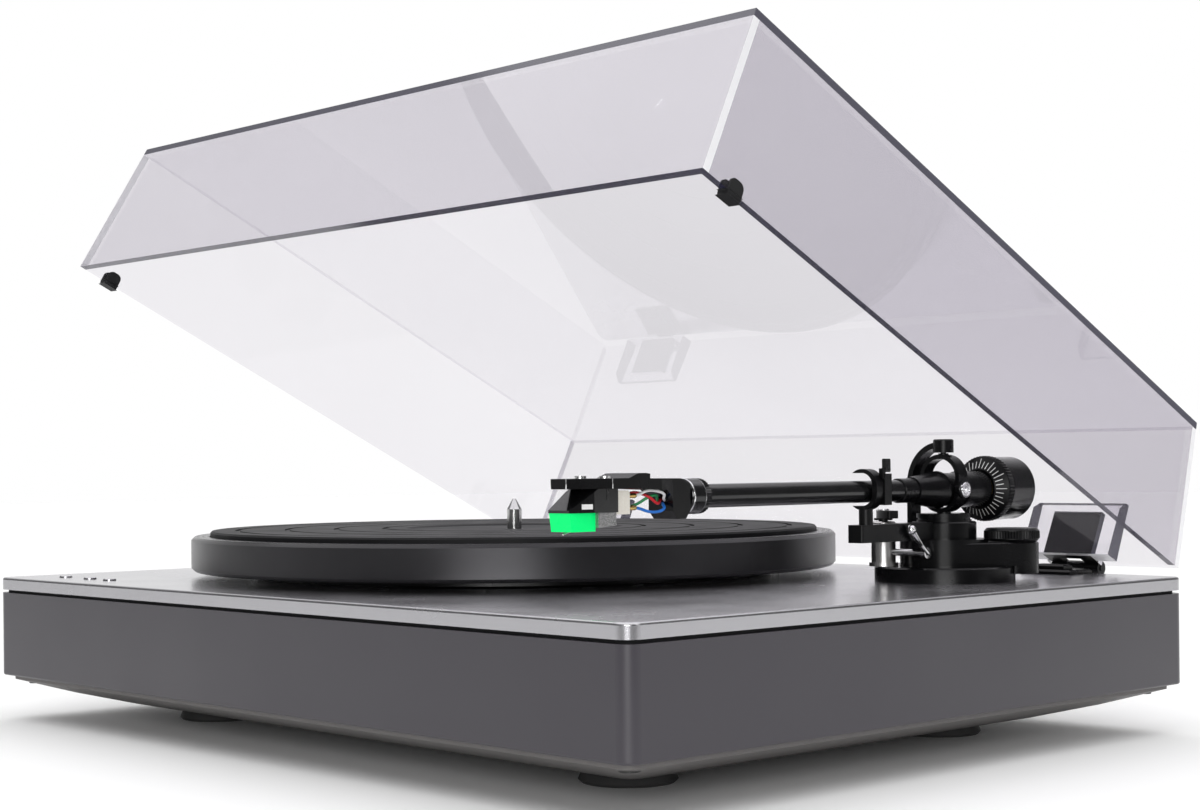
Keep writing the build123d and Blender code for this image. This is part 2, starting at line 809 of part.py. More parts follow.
def bearing_bracket():
    """The arched bracket that stands beside the turret and holds the upper pivot bearing."""
    inner = bracket_radius
    outer = bracket_radius + bracket_thickness
    cap_bottom = ring_top + 0.8
    centre = cap_bottom + 2.0 - inner
    face = Circle(outer) - Circle(inner)
    face &= Pos(outer / 2, outer / 2) * Rectangle(outer, outer)
    upright = Rectangle(bracket_thickness, centre - housing_top)
    face += Pos((inner + outer) / 2, (housing_top - centre) / 2) * upright
    strap = Pos(0, 0, centre) * extrude(Plane.XZ * face, bracket_width / 2, both=True)
    cap = disc(bearing_cap_radius, cap_bottom, cap_bottom + bearing_cap_height)
    cap = chamfer(cap.edges().group_by(Axis.Z)[-1], 0.5)
    bracket = strap + cap - disc(upper_pin_radius + bearing_fit, cap_bottom, cap_bottom + 3.0)
    return on_arm(Rot(0, 0, -bracket_turn) * bracket)


# Gimbal ring that swings about the upright pivots, and its two side bearing screws
def gimbal_ring():
    height = ring_top - ring_bottom
    corner = ring_half_width - 0.1
    outline = RectangleRounded(2 * ring_half_width, height, corner)
    outline -= RectangleRounded(2 * (ring_half_width - ring_thickness), height - 2 * ring_thickness,
                                corner - ring_thickness)
    body = extrude(Plane.YZ * outline, ring_depth / 2, both=True)
    gimbal = Pos(0, 0, (ring_bottom + ring_top) / 2) * body
    boss_radius = 3.7
    for side in (-1, 1):
        near = side * (ring_half_width - ring_thickness)
        far = side * (ring_half_width + 0.5)
        gimbal += Pos(0, 0, arm_axis_height) * across_arm(boss_radius, min(near, far), max(near, far))
    side_bore = across_arm(pivot_screw_radius, -ring_half_width - 1, ring_half_width + 1)
    gimbal -= Pos(0, 0, arm_axis_height) * side_bore
    gimbal += disc(2.2, ring_top - 1, ring_top + 0.5)
    gimbal += disc(upper_pin_radius, ring_top, ring_top + 3.2)
    gimbal += disc(lower_shaft_radius, base_height + 1, ring_bottom + 1)
    return on_arm(gimbal)


def bearing_screws():
    screws = []
    for side in (-1, 1):
        seat = ring_half_width + 0.5
        shank = across_arm(pivot_screw_radius, pivot_screw_reach, seat)
        head = across_arm(pivot_screw_head, seat, seat + 1.0)
        head -= across_arm(0.9, seat + 0.4, seat + 1.0)
        screws.append(on_axis(Rot(0, 0, 0 if side > 0 else 180) * (shank + head)))
    return screws


# The arm itself: block, tube and the rear stub that carries the counterweight
def arm_block():
    front = turned((tube_radius, -4.0), (block_radius, -4.0), (block_radius, 4.2), (block_radius + 0.9, 5.4),
                   (block_front_radius, block_front), (sleeve_radius, block_front),
                   (sleeve_radius, sleeve_end - 0.4), (sleeve_radius - 0.4, sleeve_end),
                   (tube_radius, sleeve_end))
    body = along_arm(front)
    for side in (-1, 1):
        near = side * (pivot_screw_reach - 0.2)
        far = side * (block_radius + 1)
        body -= across_arm(pivot_screw_radius + shaft_fit, min(near, far), max(near, far))
    return on_axis(body)


def arm_tube():
    inner = tube_radius - tube_wall
    return on_axis(along_arm(ring(tube_radius, inner, -4.0, collar_front + 1.0)))


def rear_stub():
    neck = block_radius - 0.6
    stub = turned((0, -4.0), (neck, -4.0), (neck, -6.0), (stub_radius, -9.0), (stub_radius, -stub_end),
                  (thread_rod_radius, -stub_end), (thread_rod_radius, -thread_rod_end), (0, -thread_rod_end))
    return on_axis(along_arm(stub))


# Headshell with its tapered nose, and the neck that the collar locks
def headshell():
    top = headshell_plate_top
    bottom = headshell_plate_bottom
    neck = headshell_neck_end
    profile = [(collar_front + 0.6, 34.2), (collar_front + 0.6, 43.8), (172.6, 46.1), (191.6, 46.3),
               (191.6, 48.0), (194.0, 48.3), (198.0, 48.2), (202.6, top), (headshell_nose, top),
               (headshell_nose, bottom), (203.0, bottom), (neck + 3.5, 41.9), (neck, 38.6), (neck, 34.0),
               (neck - 2.5, headshell_neck_bottom), (collar_front + 3.4, headshell_neck_bottom)]
    shell = side_profile(profile, headshell_half_width)
    plan = [(collar_front, -5.6), (neck, -headshell_neck_half_width), (neck + 8.0, -headshell_half_width),
            (headshell_shoulder, -headshell_half_width), (headshell_nose, -headshell_nose_half_width),
            (headshell_nose, headshell_nose_half_width), (headshell_shoulder, headshell_half_width),
            (neck + 8.0, headshell_half_width), (neck, headshell_neck_half_width), (collar_front, 5.6)]
    shell &= Pos(0, 0, 20) * extrude(make_face(Polyline(*plan, close=True)), 40)
    for side in (-1, 1):
        hole = disc(mounting_hole_radius, bottom, top)
        shell -= Pos(mounting_screw_place, side * screw_spacing / 2, 0) * hole
    shell -= Pos(0, 0, arm_axis_height) * along_arm(disc(tube_radius, collar_front, collar_front + 1.0))
    return on_arm(shell)


def headshell_screws():
    screws = []
    for side in (-1, 1):
        screw = disc(mounting_hole_radius - 0.05, cartridge_top - mounting_hole_depth, headshell_plate_top)
        screw += disc(2.2, headshell_plate_top, headshell_plate_top + 0.9)
        screw -= block(-2.2, 2.2, -0.3, 0.3, headshell_plate_top + 0.5, headshell_plate_top + 0.9)
        screws.append(on_arm(Pos(mounting_screw_place, side * screw_spacing / 2, 0) * screw))
    return screws


def headshell_collar():
    length = collar_front - collar_back
    bore = tube_radius + bearing_fit
    waist = collar_radius - 0.4
    plain = turned((bore, 0), (collar_radius - 1.5, 0), (waist, knurl_start - 0.2), (waist, knurl_end),
                   (collar_radius, knurl_end + 0.4), (collar_radius, length - 0.6),
                   (collar_radius - 0.6, length), (bore, length))
    knurl = fluted(collar_radius, knurl_depth, collar_ribs, knurl_start, knurl_end)
    knurl -= disc(bore, knurl_start, knurl_end)
    return on_axis(along_arm(Pos(0, 0, collar_back) * (plain + knurl)))


def cartridge_body():
    """The cartridge: its slanted nose, side cheeks, rear terminal block and the pole block beneath."""
    profile = [(cartridge_back, cartridge_top), (cartridge_top_front - 2, cartridge_top),
               (cartridge_top_front, cartridge_top - 1.2), (cartridge_nose, cartridge_bottom + 1.0),
               (cartridge_nose, cartridge_bottom), (cartridge_back, cartridge_bottom)]
    body = side_profile(profile, cartridge_half_width)
    plan = [(cartridge_back, -cartridge_half_width), (cartridge_top_front, -cartridge_half_width),
            (cartridge_nose, -stylus_half_width), (cartridge_nose, stylus_half_width),
            (cartridge_top_front, cartridge_half_width), (cartridge_back, cartridge_half_width)]
    body &= Pos(0, 0, 20) * extrude(make_face(Polyline(*plan, close=True)), 40)
    for side in (-1, 1):
        hole = disc(mounting_hole_radius, cartridge_top - mounting_hole_depth, cartridge_top)
        body -= Pos(mounting_screw_place, side * screw_spacing / 2, 0) * hole
    return on_arm(body)


def cartridge_blocks():
    """The metal block behind the stylus and the light terminal block at the rear of the cartridge."""
    half = cartridge_half_width - 0.6
    pole = side_profile([(cartridge_back + 0.4, cartridge_bottom), (stylus_back, cartridge_bottom),
                         (stylus_back, 28.8), (cartridge_back + 0.4, 29.6)], half)
    terminal = side_profile([(cartridge_back, 42.0), (terminal_back + 0.8, 42.0), (terminal_back, 41.2),
                             (terminal_back, 33.4), (cartridge_back, 33.4)], half - 0.4)
    return [on_arm(pole), on_arm(terminal)]


def cantilever_rod():
    """The thin rod that slants down from the stylus body to the tip."""
    root = Vector(effective_length - 5.2, 0, stylus_bottom + 0.4)
    tip = Vector(effective_length, 0, tip_height + 0.5)
    return Plane(origin=root, z_dir=tip - root) * Cylinder(0.3, (tip - root).length, align=from_floor)


def stylus_body():
    profile = [(stylus_back, cartridge_bottom), (stylus_front, cartridge_bottom),
               (stylus_front - 1.0, stylus_bottom), (stylus_back, stylus_bottom)]
    return on_arm(side_profile(profile, stylus_half_width) - cantilever_rod())


def stylus_cantilever():
    """The cantilever with its tiny diamond."""
    diamond = Pos(effective_length - 0.2, 0, tip_height) * Cone(0.05, 0.22, 0.6, align=from_floor)
    return on_arm(cantilever_rod() + diamond)


def cartridge_leads():
    """Four contact sleeves on the cartridge pins, and the leads that loop back to the headshell's neck."""
    leads = []
    neck = headshell_neck_end
    for side, level in pin_places:
        lift = 0.6 if level > 38 else -1.4
        spread = 1.25 * side
        inner = 0.45 * side
        entry = 37.6 + 0.25 * (level - 38)
        points = [(pin_end, side, level), (pin_end - 3.4, side, level), (pin_end - 7.6, spread, level + lift),
                  (pin_end - 12.0, 0.9 * side, level + 0.4 * lift), (neck + 2.2, inner, entry),
                  (neck, inner, entry)]
        sleeve = along_arm(Cylinder(0.75, terminal_back - pin_end, align=from_floor))
        leads.append(on_arm(Pos(pin_end, side, level) * sleeve))
        leads.append(on_arm(round_path(points, lead_radius, 1.1)))
    return leads


# Counterweight: a sleeve that runs on the threaded rod, the weight that turns on it and the dial ring
def weight_sleeve():
    return on_axis(along_arm(ring(thread_rod_radius + sleeve_wall, thread_rod_radius + bearing_fit,
                                  -weight_end + 1.0, -dial_front - 2.2)))


def counterweight():
    bore = thread_rod_radius + sleeve_wall + bearing_fit
    nose = weight_nose_radius
    outline = [(bore, -dial_front - 2.0), (nose, -dial_front - 2.0), (nose, -weight_front),
               (weight_radius, -weight_front), (weight_radius, -weight_end + 1.0),
               (weight_radius - 1.0, -weight_end), (bore, -weight_end)]
    return on_axis(along_arm(turned(*outline)))


def dial_ring():
    """The force dial: a cone cut with radial ticks, and a finely ribbed rim."""
    bore = weight_nose_radius + 0.08
    waist = dial_radius - knurl_depth
    low = -dial_back + 0.4
    high = -dial_rim - 0.4
    dial = turned((bore, -dial_back), (waist, -dial_back), (waist, -dial_rim), (dial_lip_radius, -dial_front),
                  (dial_lip_radius, -dial_front - 1.4), (bore, -dial_front - 1.9))
    dial += fluted(dial_radius, knurl_depth, dial_ribs, low, high) - disc(dial_radius - 2, low, high)
    reach = waist - dial_lip_radius
    for index in range(dial_ticks):
        length = reach * (0.62 if index % 3 else 0.86)
        middle = 0.5 + length * cos(cone_slope) / 2
        tick = Rot(0, degrees(cone_slope), 0) * Box(length, tick_width, 2 * tick_depth)
        tick = Pos(dial_lip_radius + middle, 0, -dial_front - middle * cone_rate) * tick
        dial -= Rot(0, 0, 360 * index / dial_ticks) * tick
    return on_axis(along_arm(dial))


# Side-force dial
def antiskate_knob():
    waist = dial_knob_radius - knurl_depth
    knob = fluted(dial_knob_radius, knurl_depth, dial_ribs, dial_knob_bottom + 1.2, dial_knob_top - 1.2)
    knob += turned((0, dial_knob_bottom), (dial_knob_radius - 1.2, dial_knob_bottom),
                   (waist, dial_knob_bottom + 0.9), (waist, dial_knob_top - 0.9),
                   (dial_knob_radius - 1.2, dial_knob_top), (0, dial_knob_top))
    knob += disc(1.95, lobe_top - 5.8, dial_knob_bottom)
    return on_base(lobe_place * knob)


# Arm rest: its bracket from the housing, the open clip on a post and the small latch
def armrest_bracket():
    bar = block(turret_radius - 3, rest_bracket_end, -rest_bracket_half_width, rest_bracket_half_width,
                housing_top, rest_bracket_top)
    bar = fillet(bar.edges().filter_by(Axis.Z), 1.2)
    return on_base(bar - disc(turret_radius + 0.05, housing_top, rest_bracket_top))


def armrest_clip():
    middle = (clip_bottom + clip_top) / 2
    height = clip_top - clip_bottom
    mouth = height - 2 * clip_wall - 0.4
    ring_face = RectangleRounded(2 * clip_half_width, height, clip_half_width - 0.1)
    ring_face -= RectangleRounded(2 * clip_mouth_half_width, mouth, clip_mouth_half_width - 0.1)
    ring_face -= Pos(-clip_half_width / 2, 0) * Rectangle(clip_half_width + 2, mouth)
    clip = Pos(clip_place, 0, middle) * extrude(Plane.YZ * ring_face, clip_depth / 2, both=True)
    clip += Pos(clip_place, 0, 0) * disc(rest_post_radius, rest_bracket_top, clip_bottom + 1.2)
    back = clip_place - clip_depth / 2
    wall = block(back - latch_width - 0.6, back + 0.5, latch_pivot_side - 1.4, latch_pivot_side + 1.3,
                 clip_bottom + 2.0, latch_pivot_height - 1.8)
    clip += wall
    ear = block(back - 0.5, back + 1.4, latch_pivot_side - 1.0, latch_pivot_side + 1.0,
                latch_pivot_height - 4.0, latch_pivot_height + 0.4)
    clip += ear
    pin = along_arm(Cylinder(latch_pin_radius, latch_width + 1.0, align=to_level))
    clip += Pos(back + 0.2, latch_pivot_side, latch_pivot_height) * pin
    return on_arm(clip)


def rest_latch():
    back = clip_place - clip_depth / 2 - 0.7
    low = latch_pivot_height - latch_thickness / 2 - 0.2
    tab = block(back - latch_width + 0.4, back, latch_pivot_side - latch_thickness / 2,
                latch_pivot_side + latch_thickness / 2, low, latch_top)
    tab = fillet(tab.edges().filter_by(Axis.X), 0.6)
    bore = Pos(back + 1, latch_pivot_side, latch_pivot_height) * along_arm(
        Cylinder(latch_pin_radius + bearing_fit, latch_width + 3, align=to_level))
    return on_arm(tab - bore)


# Cueing lift: cylinder, lever on its cross shaft, and the rod with the curved pad
def lift_cylinder():
    barrel = disc(lift_radius, lift_bottom, lift_top)
    barrel = chamfer(barrel.edges().group_by(Axis.Z)[-1], 0.5)
    barrel -= disc(lift_rod_radius + bearing_fit, housing_top - 2, lift_top)
    barrel = lift_place * barrel
    barrel -= Pos(lift_along, 0, cue_axis_height) * across_arm(cue_shaft_radius + bearing_fit, lift_side, 0)
    foot = lift_place * disc(lift_radius + 1.0, base_height, base_height + 1.6)
    foot -= disc(housing_disc_radius + 0.1, base_height, base_height + 1.6)
    return on_base(barrel + foot)


def cue_lever():
    """The cross shaft and the slim lever that ends in a ball."""
    shaft = Pos(lift_along, 0, cue_axis_height) * across_arm(cue_shaft_radius, lift_side + 1, cue_shaft_end)
    hub = Pos(lift_along, 0, cue_axis_height) * across_arm(2.3, cue_shaft_end - 2.2, cue_shaft_end + 0.6)
    lever = turned((0, 0), (1.5, 0), (0.9, 5.0), (1.5, cue_lever_reach - 2.0), (0, cue_lever_reach))
    lever += Pos(0, 0, cue_lever_reach - 1.0) * Sphere(cue_ball_radius)
    lever = Rot(0, cue_lever_tilt, 0) * lever
    return on_base(shaft + hub + Pos(lift_along, cue_shaft_end, cue_axis_height) * lever)


def lift_platform():
    """The rod and the pad that is curved about the arm's pivot, under the arm's playing sweep."""
    pad = ring(lift_pad_outer, lift_pad_inner, lift_pad_bottom, lift_pad_top)
    wedge = Pos(0, 0, lift_pad_bottom) * extrude(
        make_face(Polyline((0, 0), (2 * lift_pad_outer * cos(radians(lift_pad_first)),
                                    -2 * lift_pad_outer * sin(radians(lift_pad_first))),
                           (2 * lift_pad_outer * cos(radians(lift_pad_last)),
                            -2 * lift_pad_outer * sin(radians(lift_pad_last))), close=True)),
        lift_pad_top - lift_pad_bottom)
    pad &= wedge
    pad = fillet(pad.edges().filter_by(Axis.Z), 1.2)
    rod = lift_place * disc(lift_rod_radius, housing_top - 1, lift_pad_bottom + 1)
    collar = lift_place * disc(lift_radius - 1.2, lift_top + 0.5, lift_pad_bottom)
    return on_base(pad + rod + collar)


# Lid of five bonded sheets
def lid_block():
    """The lid's outer form, closed: it narrows a little towards its top."""
    bottom = plate_top + lid_gap
    middle = (lid_front + lid_rear) / 2
    lower = Pos(0, middle, bottom) * Rectangle(lid_width, lid_depth)
    upper = Pos(0, middle, bottom + lid_height) * Rectangle(lid_width - 2 * lid_side_taper,
                                                            lid_depth - 2 * lid_end_taper)
    return loft([lower, upper], ruled=True)


def notch(side):
    """The gap in the rear sheet's lower edge that the hinge passes through."""
    half = blade_half_width + notch_clearance
    return Pos(side * hinge_spread / 2, 0, 0) * block(-half, half, lid_rear - 2 * lid_sheet, lid_rear + 1,
                                                      plate_top, hinge_z + knuckle_radius + 0.8)


def lid_sheets():
    outer = lid_block()
    sheet_level = plate_top + lid_gap + lid_height - lid_sheet
    big = 2 * lid_width
    upper_space = block(-big, big, -big, big, sheet_level, sheet_level + big)
    top = outer & upper_space
    walls = outer - upper_space
    front = walls - Pos(0, lid_sheet, 0) * outer
    rear = walls - Pos(0, -lid_sheet, 0) * outer
    middle = walls - front - rear
    left = middle - Pos(lid_sheet, 0, 0) * outer
    right = middle - Pos(-lid_sheet, 0, 0) * outer
    for side in (-1, 1):
        rear -= notch(side)
    return {"lid_top": top, "lid_front": front, "lid_rear": rear, "lid_left": left, "lid_right": right}


def hinge_pocket(side):
    """The clear bevelled pocket that is bonded inside the rear sheet and holds the hinge blade."""
    inside = lid_rear - lid_sheet
    low = plate_top + lid_gap + 0.8
    lean = lid_end_taper / lid_height
    high = low + pocket_height
    back_low = inside - lean * (low - plate_top - lid_gap)
    back_high = inside - lean * (high - plate_top - lid_gap)
    front_low = back_low - pocket_thickness
    bevel = 4.0
    face = Plane.YZ * make_face(Polyline((back_low, low), (back_high, high), (front_low + bevel, high),
                                         (front_low, high - bevel), (front_low, low), close=True))
    pocket = extrude(face, pocket_half_width, both=True)
    slot_front = front_low + 2.4
    slot_half = blade_half_width + 0.1
    slot_back = slot_front + blade_thickness + 0.2
    pocket -= block(-slot_half, slot_half, slot_front, slot_back, low, high - 5.0)
    pocket -= block(-slot_half, slot_half, slot_front, inside + 1, low, low + 2.6)
    return Pos(side * hinge_spread / 2, 0, 0) * pocket


def hinge_blade(side):
    """The blade in the pocket, with two knuckles that turn on the hinge pin."""
    inside = lid_rear - lid_sheet
    low = plate_top + lid_gap + 0.8
    front_low = inside - pocket_thickness
    slot_front = front_low + 2.4
    blade = block(-blade_half_width, blade_half_width, slot_front + 0.1, slot_front + 0.1 + blade_thickness,
                  low, low + pocket_height - 5.4)
    arm = block(-blade_half_width, blade_half_width, slot_front + 0.1, hinge_y, low, low + 1.9)
    knuckle = Pos(0, hinge_y, hinge_z) * Rot(0, 90, 0) * Cylinder(knuckle_radius, 2 * blade_half_width)
    blade += arm + knuckle
    gap = knuckle_half_length + knuckle_gap
    blade -= block(-gap, gap, slot_front + blade_thickness + 0.6, hinge_y + 2 * knuckle_radius,
                   hinge_z - 2 * knuckle_radius, low + 4)
    bore = Cylinder(hinge_pin_radius + bearing_fit, 4 * blade_half_width)
    blade -= Pos(0, hinge_y, hinge_z) * Rot(0, 90, 0) * bore
    return Pos(side * hinge_spread / 2, 0, 0) * blade


def hinge_foot(side):
    """The foot on the top plate, with the middle knuckle and the pin."""
    foot_top = plate_top + hinge_foot_height
    front = plinth_depth / 2 - hinge_foot_front
    base = block(-hinge_foot_half_width, hinge_foot_half_width, front, plinth_depth / 2 - hinge_foot_rear,
                 plate_top, foot_top)
    base = chamfer(base.edges().group_by(Axis.Z)[-1], 0.8)
    boss = block(-hinge_boss_half_width, hinge_boss_half_width, front + 3, front + 10,
                 foot_top - 1, plate_top + hinge_boss_height)
    boss = chamfer(boss.edges().group_by(Axis.Z)[-1], 0.8)
    half = knuckle_half_length
    tongue = block(-half, half, plinth_depth / 2 - 4, hinge_y, plate_top, foot_top)
    knuckle = Pos(0, hinge_y, hinge_z) * Rot(0, 90, 0) * Cylinder(knuckle_radius, 2 * knuckle_half_length)
    pin = Pos(0, hinge_y, hinge_z) * Rot(0, 90, 0) * Cylinder(hinge_pin_radius, 2 * blade_half_width + 1.0)
    return Pos(side * hinge_spread / 2, 0, 0) * (base + boss + tongue + knuckle + pin)


def bumper(side, sheet):
    """A rubber clip pushed over a side sheet's lower edge, which the closed lid rests on."""
    bottom = plate_top + lid_gap
    outer = lid_width / 2
    middle = lid_front + bumper_from_front
    lower = plate_top + 0.15
    clip = block(outer - lid_sheet - bumper_wall, outer + bumper_wall, middle - bumper_length / 2,
                 middle + bumper_length / 2, lower, bottom + bumper_height)
    clip = fillet(clip.edges().filter_by(Axis.X).group_by(Axis.Z)[-1], 4.0)
    clip -= sheet
    return clip if side > 0 else mirror(clip, Plane.YZ)


# Build and write every sub-part
save("plinth_body", plinth_body())
save("base_pan", base_pan())
save("feet", *[Pos(x, y, 0) * foot() for x, y in foot_places])
save("base_screws", *[Pos(x, y, 0) * foot_screw() for x, y in foot_places],
     *[Pos(x, y, 0) * pan_screw() for x, y in corner_screw_places])
save("plate_gasket", plate_gasket())
save("top_plate", top_plate())
save("motor_frame", motor_frame())
save("motor_stator", *motor_stator())
save("spindle_bearing", spindle_bearing())
save("drive_rotor", *drive_rotor())
save("platter", platter())
save("platter_mat", platter_mat())
save("spindle", spindle())
for name, x in button_places.items():
    save(name, push_button(x))
save("switch_board", switch_board())
save("control_board", control_board())
save("rear_panel", rear_panel())
save("output_sockets", *[output_socket(place) for place in socket_places])
save("power_inlet", power_inlet())
save("ground_post", ground_post())
save("signal_leads", *signal_leads())
save("arm_base", arm_base())
save("arm_base_nut", arm_base_nut())
save("arm_housing", arm_housing())
save("arm_turret", arm_turret())
save("bearing_bracket", bearing_bracket())
save("gimbal_ring", gimbal_ring())
save("bearing_screws", *bearing_screws())
save("arm_block", arm_block())
save("arm_tube", arm_tube())
save("rear_stub", rear_stub())
save("headshell", headshell())
save("headshell_screws", *headshell_screws())
save("headshell_collar", headshell_collar())
save("cartridge_body", cartridge_body())
save("cartridge_blocks", *cartridge_blocks())
save("stylus_body", stylus_body())
save("stylus_cantilever", stylus_cantilever())
save("cartridge_leads", *cartridge_leads())
save("weight_sleeve", weight_sleeve())
save("counterweight", counterweight())
save("dial_ring", dial_ring())
save("antiskate_knob", antiskate_knob())
save("armrest_bracket", armrest_bracket())
save("armrest_clip", armrest_clip())
save("rest_latch", rest_latch())
save("lift_cylinder", lift_cylinder())
save("cue_lever", cue_lever())
save("lift_platform", lift_platform())
sheets = lid_sheets()
for name, sheet in sheets.items():
    save(name, open_lid(sheet))
save("hinge_pockets", *[open_lid(hinge_pocket(side)) for side in (-1, 1)])
save("hinge_blades", *[open_lid(hinge_blade(side)) for side in (-1, 1)])
save("lid_bumpers", *[open_lid(bumper(side, sheets["lid_right"])) for side in (-1, 1)])
save("hinge_feet", *[hinge_foot(side) for side in (-1, 1)])

print("centre y", round(centre_y, 4))
print("plate top", round(plate_top, 3), "hinge", round(hinge_y - centre_y, 3), round(hinge_z, 3))
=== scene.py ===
import json
from math import atan, cos, pi, radians, sin

import bmesh
import bpy
from mathutils import Matrix, Vector


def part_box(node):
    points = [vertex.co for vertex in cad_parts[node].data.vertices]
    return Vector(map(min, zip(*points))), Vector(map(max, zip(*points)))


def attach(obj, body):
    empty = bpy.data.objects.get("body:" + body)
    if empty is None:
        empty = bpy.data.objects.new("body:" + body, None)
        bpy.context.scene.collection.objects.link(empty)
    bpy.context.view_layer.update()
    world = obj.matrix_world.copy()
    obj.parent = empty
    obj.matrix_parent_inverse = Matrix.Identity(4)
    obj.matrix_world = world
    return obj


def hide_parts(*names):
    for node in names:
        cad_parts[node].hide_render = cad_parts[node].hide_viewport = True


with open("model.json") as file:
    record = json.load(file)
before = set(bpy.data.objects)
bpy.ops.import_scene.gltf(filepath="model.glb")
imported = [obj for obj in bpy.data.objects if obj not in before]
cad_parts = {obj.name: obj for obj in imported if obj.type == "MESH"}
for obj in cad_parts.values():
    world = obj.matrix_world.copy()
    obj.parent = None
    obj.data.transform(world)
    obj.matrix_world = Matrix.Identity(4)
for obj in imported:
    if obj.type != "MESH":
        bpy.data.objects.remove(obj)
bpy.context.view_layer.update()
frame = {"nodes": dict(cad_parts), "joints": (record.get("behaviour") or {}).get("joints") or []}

# The CAD model's nodes and joints, before anything is added
nodes = frame["nodes"]
joints = {joint["name"]: joint for joint in frame["joints"]}

# Blender works in metres, and the small pieces are drawn in millimetres
mm = 0.001

# Places read from the frame
spindle_axis = Vector(joints["platter_spin"]["pos_m"])
arm_pivot = Vector(joints["arm_swing"]["pos_m"])
arm_direction = Vector(joints["collar_turn"]["axis"])
arm_side = Vector((-arm_direction.y, arm_direction.x, 0.0))
plate_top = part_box("top_plate")[1][2]

# The tonearm's axis above the plate, in millimetres
axis_height = (arm_pivot.z - plate_top) / mm

# How far the lid stands open at rest
lid_open = radians(26.3)

# Most of a noise texture's values lie between these two
noise_low, noise_high = 0.3, 0.7

# At scale 1, a wave texture's phase grows by this many radians in a metre
wave_rate = 20.0


# Shader nodes
def new_finish(name):
    """A material with one Principled shader: the material, its node tree and the shader."""
    finish = bpy.data.materials.new(name)
    finish.use_nodes = True
    tree = finish.node_tree
    return finish, tree, tree.nodes["Principled BSDF"]


def place_node(tree, centre=(0.0, 0.0, 0.0), stretch=(1.0, 1.0, 1.0)):
    """Object coordinates about a centre, in metres, stretched where a pattern runs one way."""
    coordinates = tree.nodes.new("ShaderNodeTexCoord")
    mapping = tree.nodes.new("ShaderNodeMapping")
    mapping.inputs["Location"].default_value = [-c * s for c, s in zip(centre, stretch)]
    mapping.inputs["Scale"].default_value = stretch
    tree.links.new(coordinates.outputs["Object"], mapping.inputs["Vector"])
    return mapping.outputs["Vector"]


def along_node(tree, place, axis):
    """How far a place lies along X, Y or Z."""
    split = tree.nodes.new("ShaderNodeSeparateXYZ")
    tree.links.new(place, split.inputs["Vector"])
    return split.outputs[axis]


def noise_node(tree, place, scale, detail=3.0):
    """Soft cloudy noise."""
    noise = tree.nodes.new("ShaderNodeTexNoise")
    noise.inputs["Scale"].default_value = scale
    noise.inputs["Detail"].default_value = detail
    noise.inputs["Roughness"].default_value = 0.5
    tree.links.new(place, noise.inputs["Vector"])
    return noise.outputs["Fac"]


def ring_node(tree, place, pitch, distortion=0.0):
    """Rings about an upright axis, a pitch apart in metres."""
    rings = tree.nodes.new("ShaderNodeTexWave")
    rings.wave_type = "RINGS"
    rings.rings_direction = "Z"
    rings.inputs["Scale"].default_value = 2 * pi / (wave_rate * pitch)
    rings.inputs["Distortion"].default_value = distortion
    rings.inputs["Detail"].default_value = 1.0
    tree.links.new(place, rings.inputs["Vector"])
    return rings.outputs["Fac"]


def ramp_node(tree, factor, start, end):
    """A colour ramp between two (position, colour) stops."""
    ramp = tree.nodes.new("ShaderNodeValToRGB")
    for element, (position, colour) in zip(ramp.color_ramp.elements, (start, end)):
        element.position = position
        element.color = (*colour, 1.0)
    tree.links.new(factor, ramp.inputs["Fac"])
    return ramp.outputs["Color"]


def clouded_node(tree, cloud, colour, darker, lighter):
    """A colour that drifts between a darker and a lighter share of itself, at most white."""
    start = tuple(min(1.0, channel * darker) for channel in colour)
    end = tuple(min(1.0, channel * lighter) for channel in colour)
    return ramp_node(tree, cloud, (noise_low, start), (noise_high, end))


def spread_node(tree, value, low, high, first=noise_low, last=noise_high):
    """Maps first..last of a value to low..high."""
    spread = tree.nodes.new("ShaderNodeMapRange")
    spread.inputs["From Min"].default_value = first
    spread.inputs["From Max"].default_value = last
    spread.inputs["To Min"].default_value = low
    spread.inputs["To Max"].default_value = high
    tree.links.new(value, spread.inputs["Value"])
    return spread.outputs["Result"]


def math_node(tree, operation, first, second=None):
    """One sum on numbers or sockets."""
    node = tree.nodes.new("ShaderNodeMath")
    node.operation = operation
    for index, value in enumerate((first, second)):
        if value is None:
            continue
        if isinstance(value, (int, float)):
            node.inputs[index].default_value = value
        else:
            tree.links.new(value, node.inputs[index])
    return node.outputs["Value"]


def vector_node(tree, operation, first, second=None):
    """One sum on a vector socket, with a fixed second vector where it takes one."""
    node = tree.nodes.new("ShaderNodeVectorMath")
    node.operation = operation
    tree.links.new(first, node.inputs[0])
    if second is not None:
        node.inputs[1].default_value = second
    return node


def bump_node(tree, height, strength, distance):
    """A surface normal roughened by a height."""
    bump = tree.nodes.new("ShaderNodeBump")
    bump.inputs["Strength"].default_value = strength
    bump.inputs["Distance"].default_value = distance
    tree.links.new(height, bump.inputs["Height"])
    return bump.outputs["Normal"]


def painted_shader(tree, colour, roughness):
    """A plain painted surface, to be mixed with others."""
    surface = tree.nodes.new("ShaderNodeBsdfPrincipled")
    surface.inputs["Base Color"].default_value = (*colour, 1.0)
    surface.inputs["Roughness"].default_value = roughness
    return surface


def mixed_shader(tree, factor, first, second):
    """Two shaders mixed by a number or a socket: 0 is all the first, 1 all the second."""
    mix = tree.nodes.new("ShaderNodeMixShader")
    if isinstance(factor, float):
        mix.inputs["Fac"].default_value = factor
    else:
        tree.links.new(factor, mix.inputs["Fac"])
    tree.links.new(first.outputs[0], mix.inputs[1])
    tree.links.new(second.outputs[0], mix.inputs[2])
    return mix


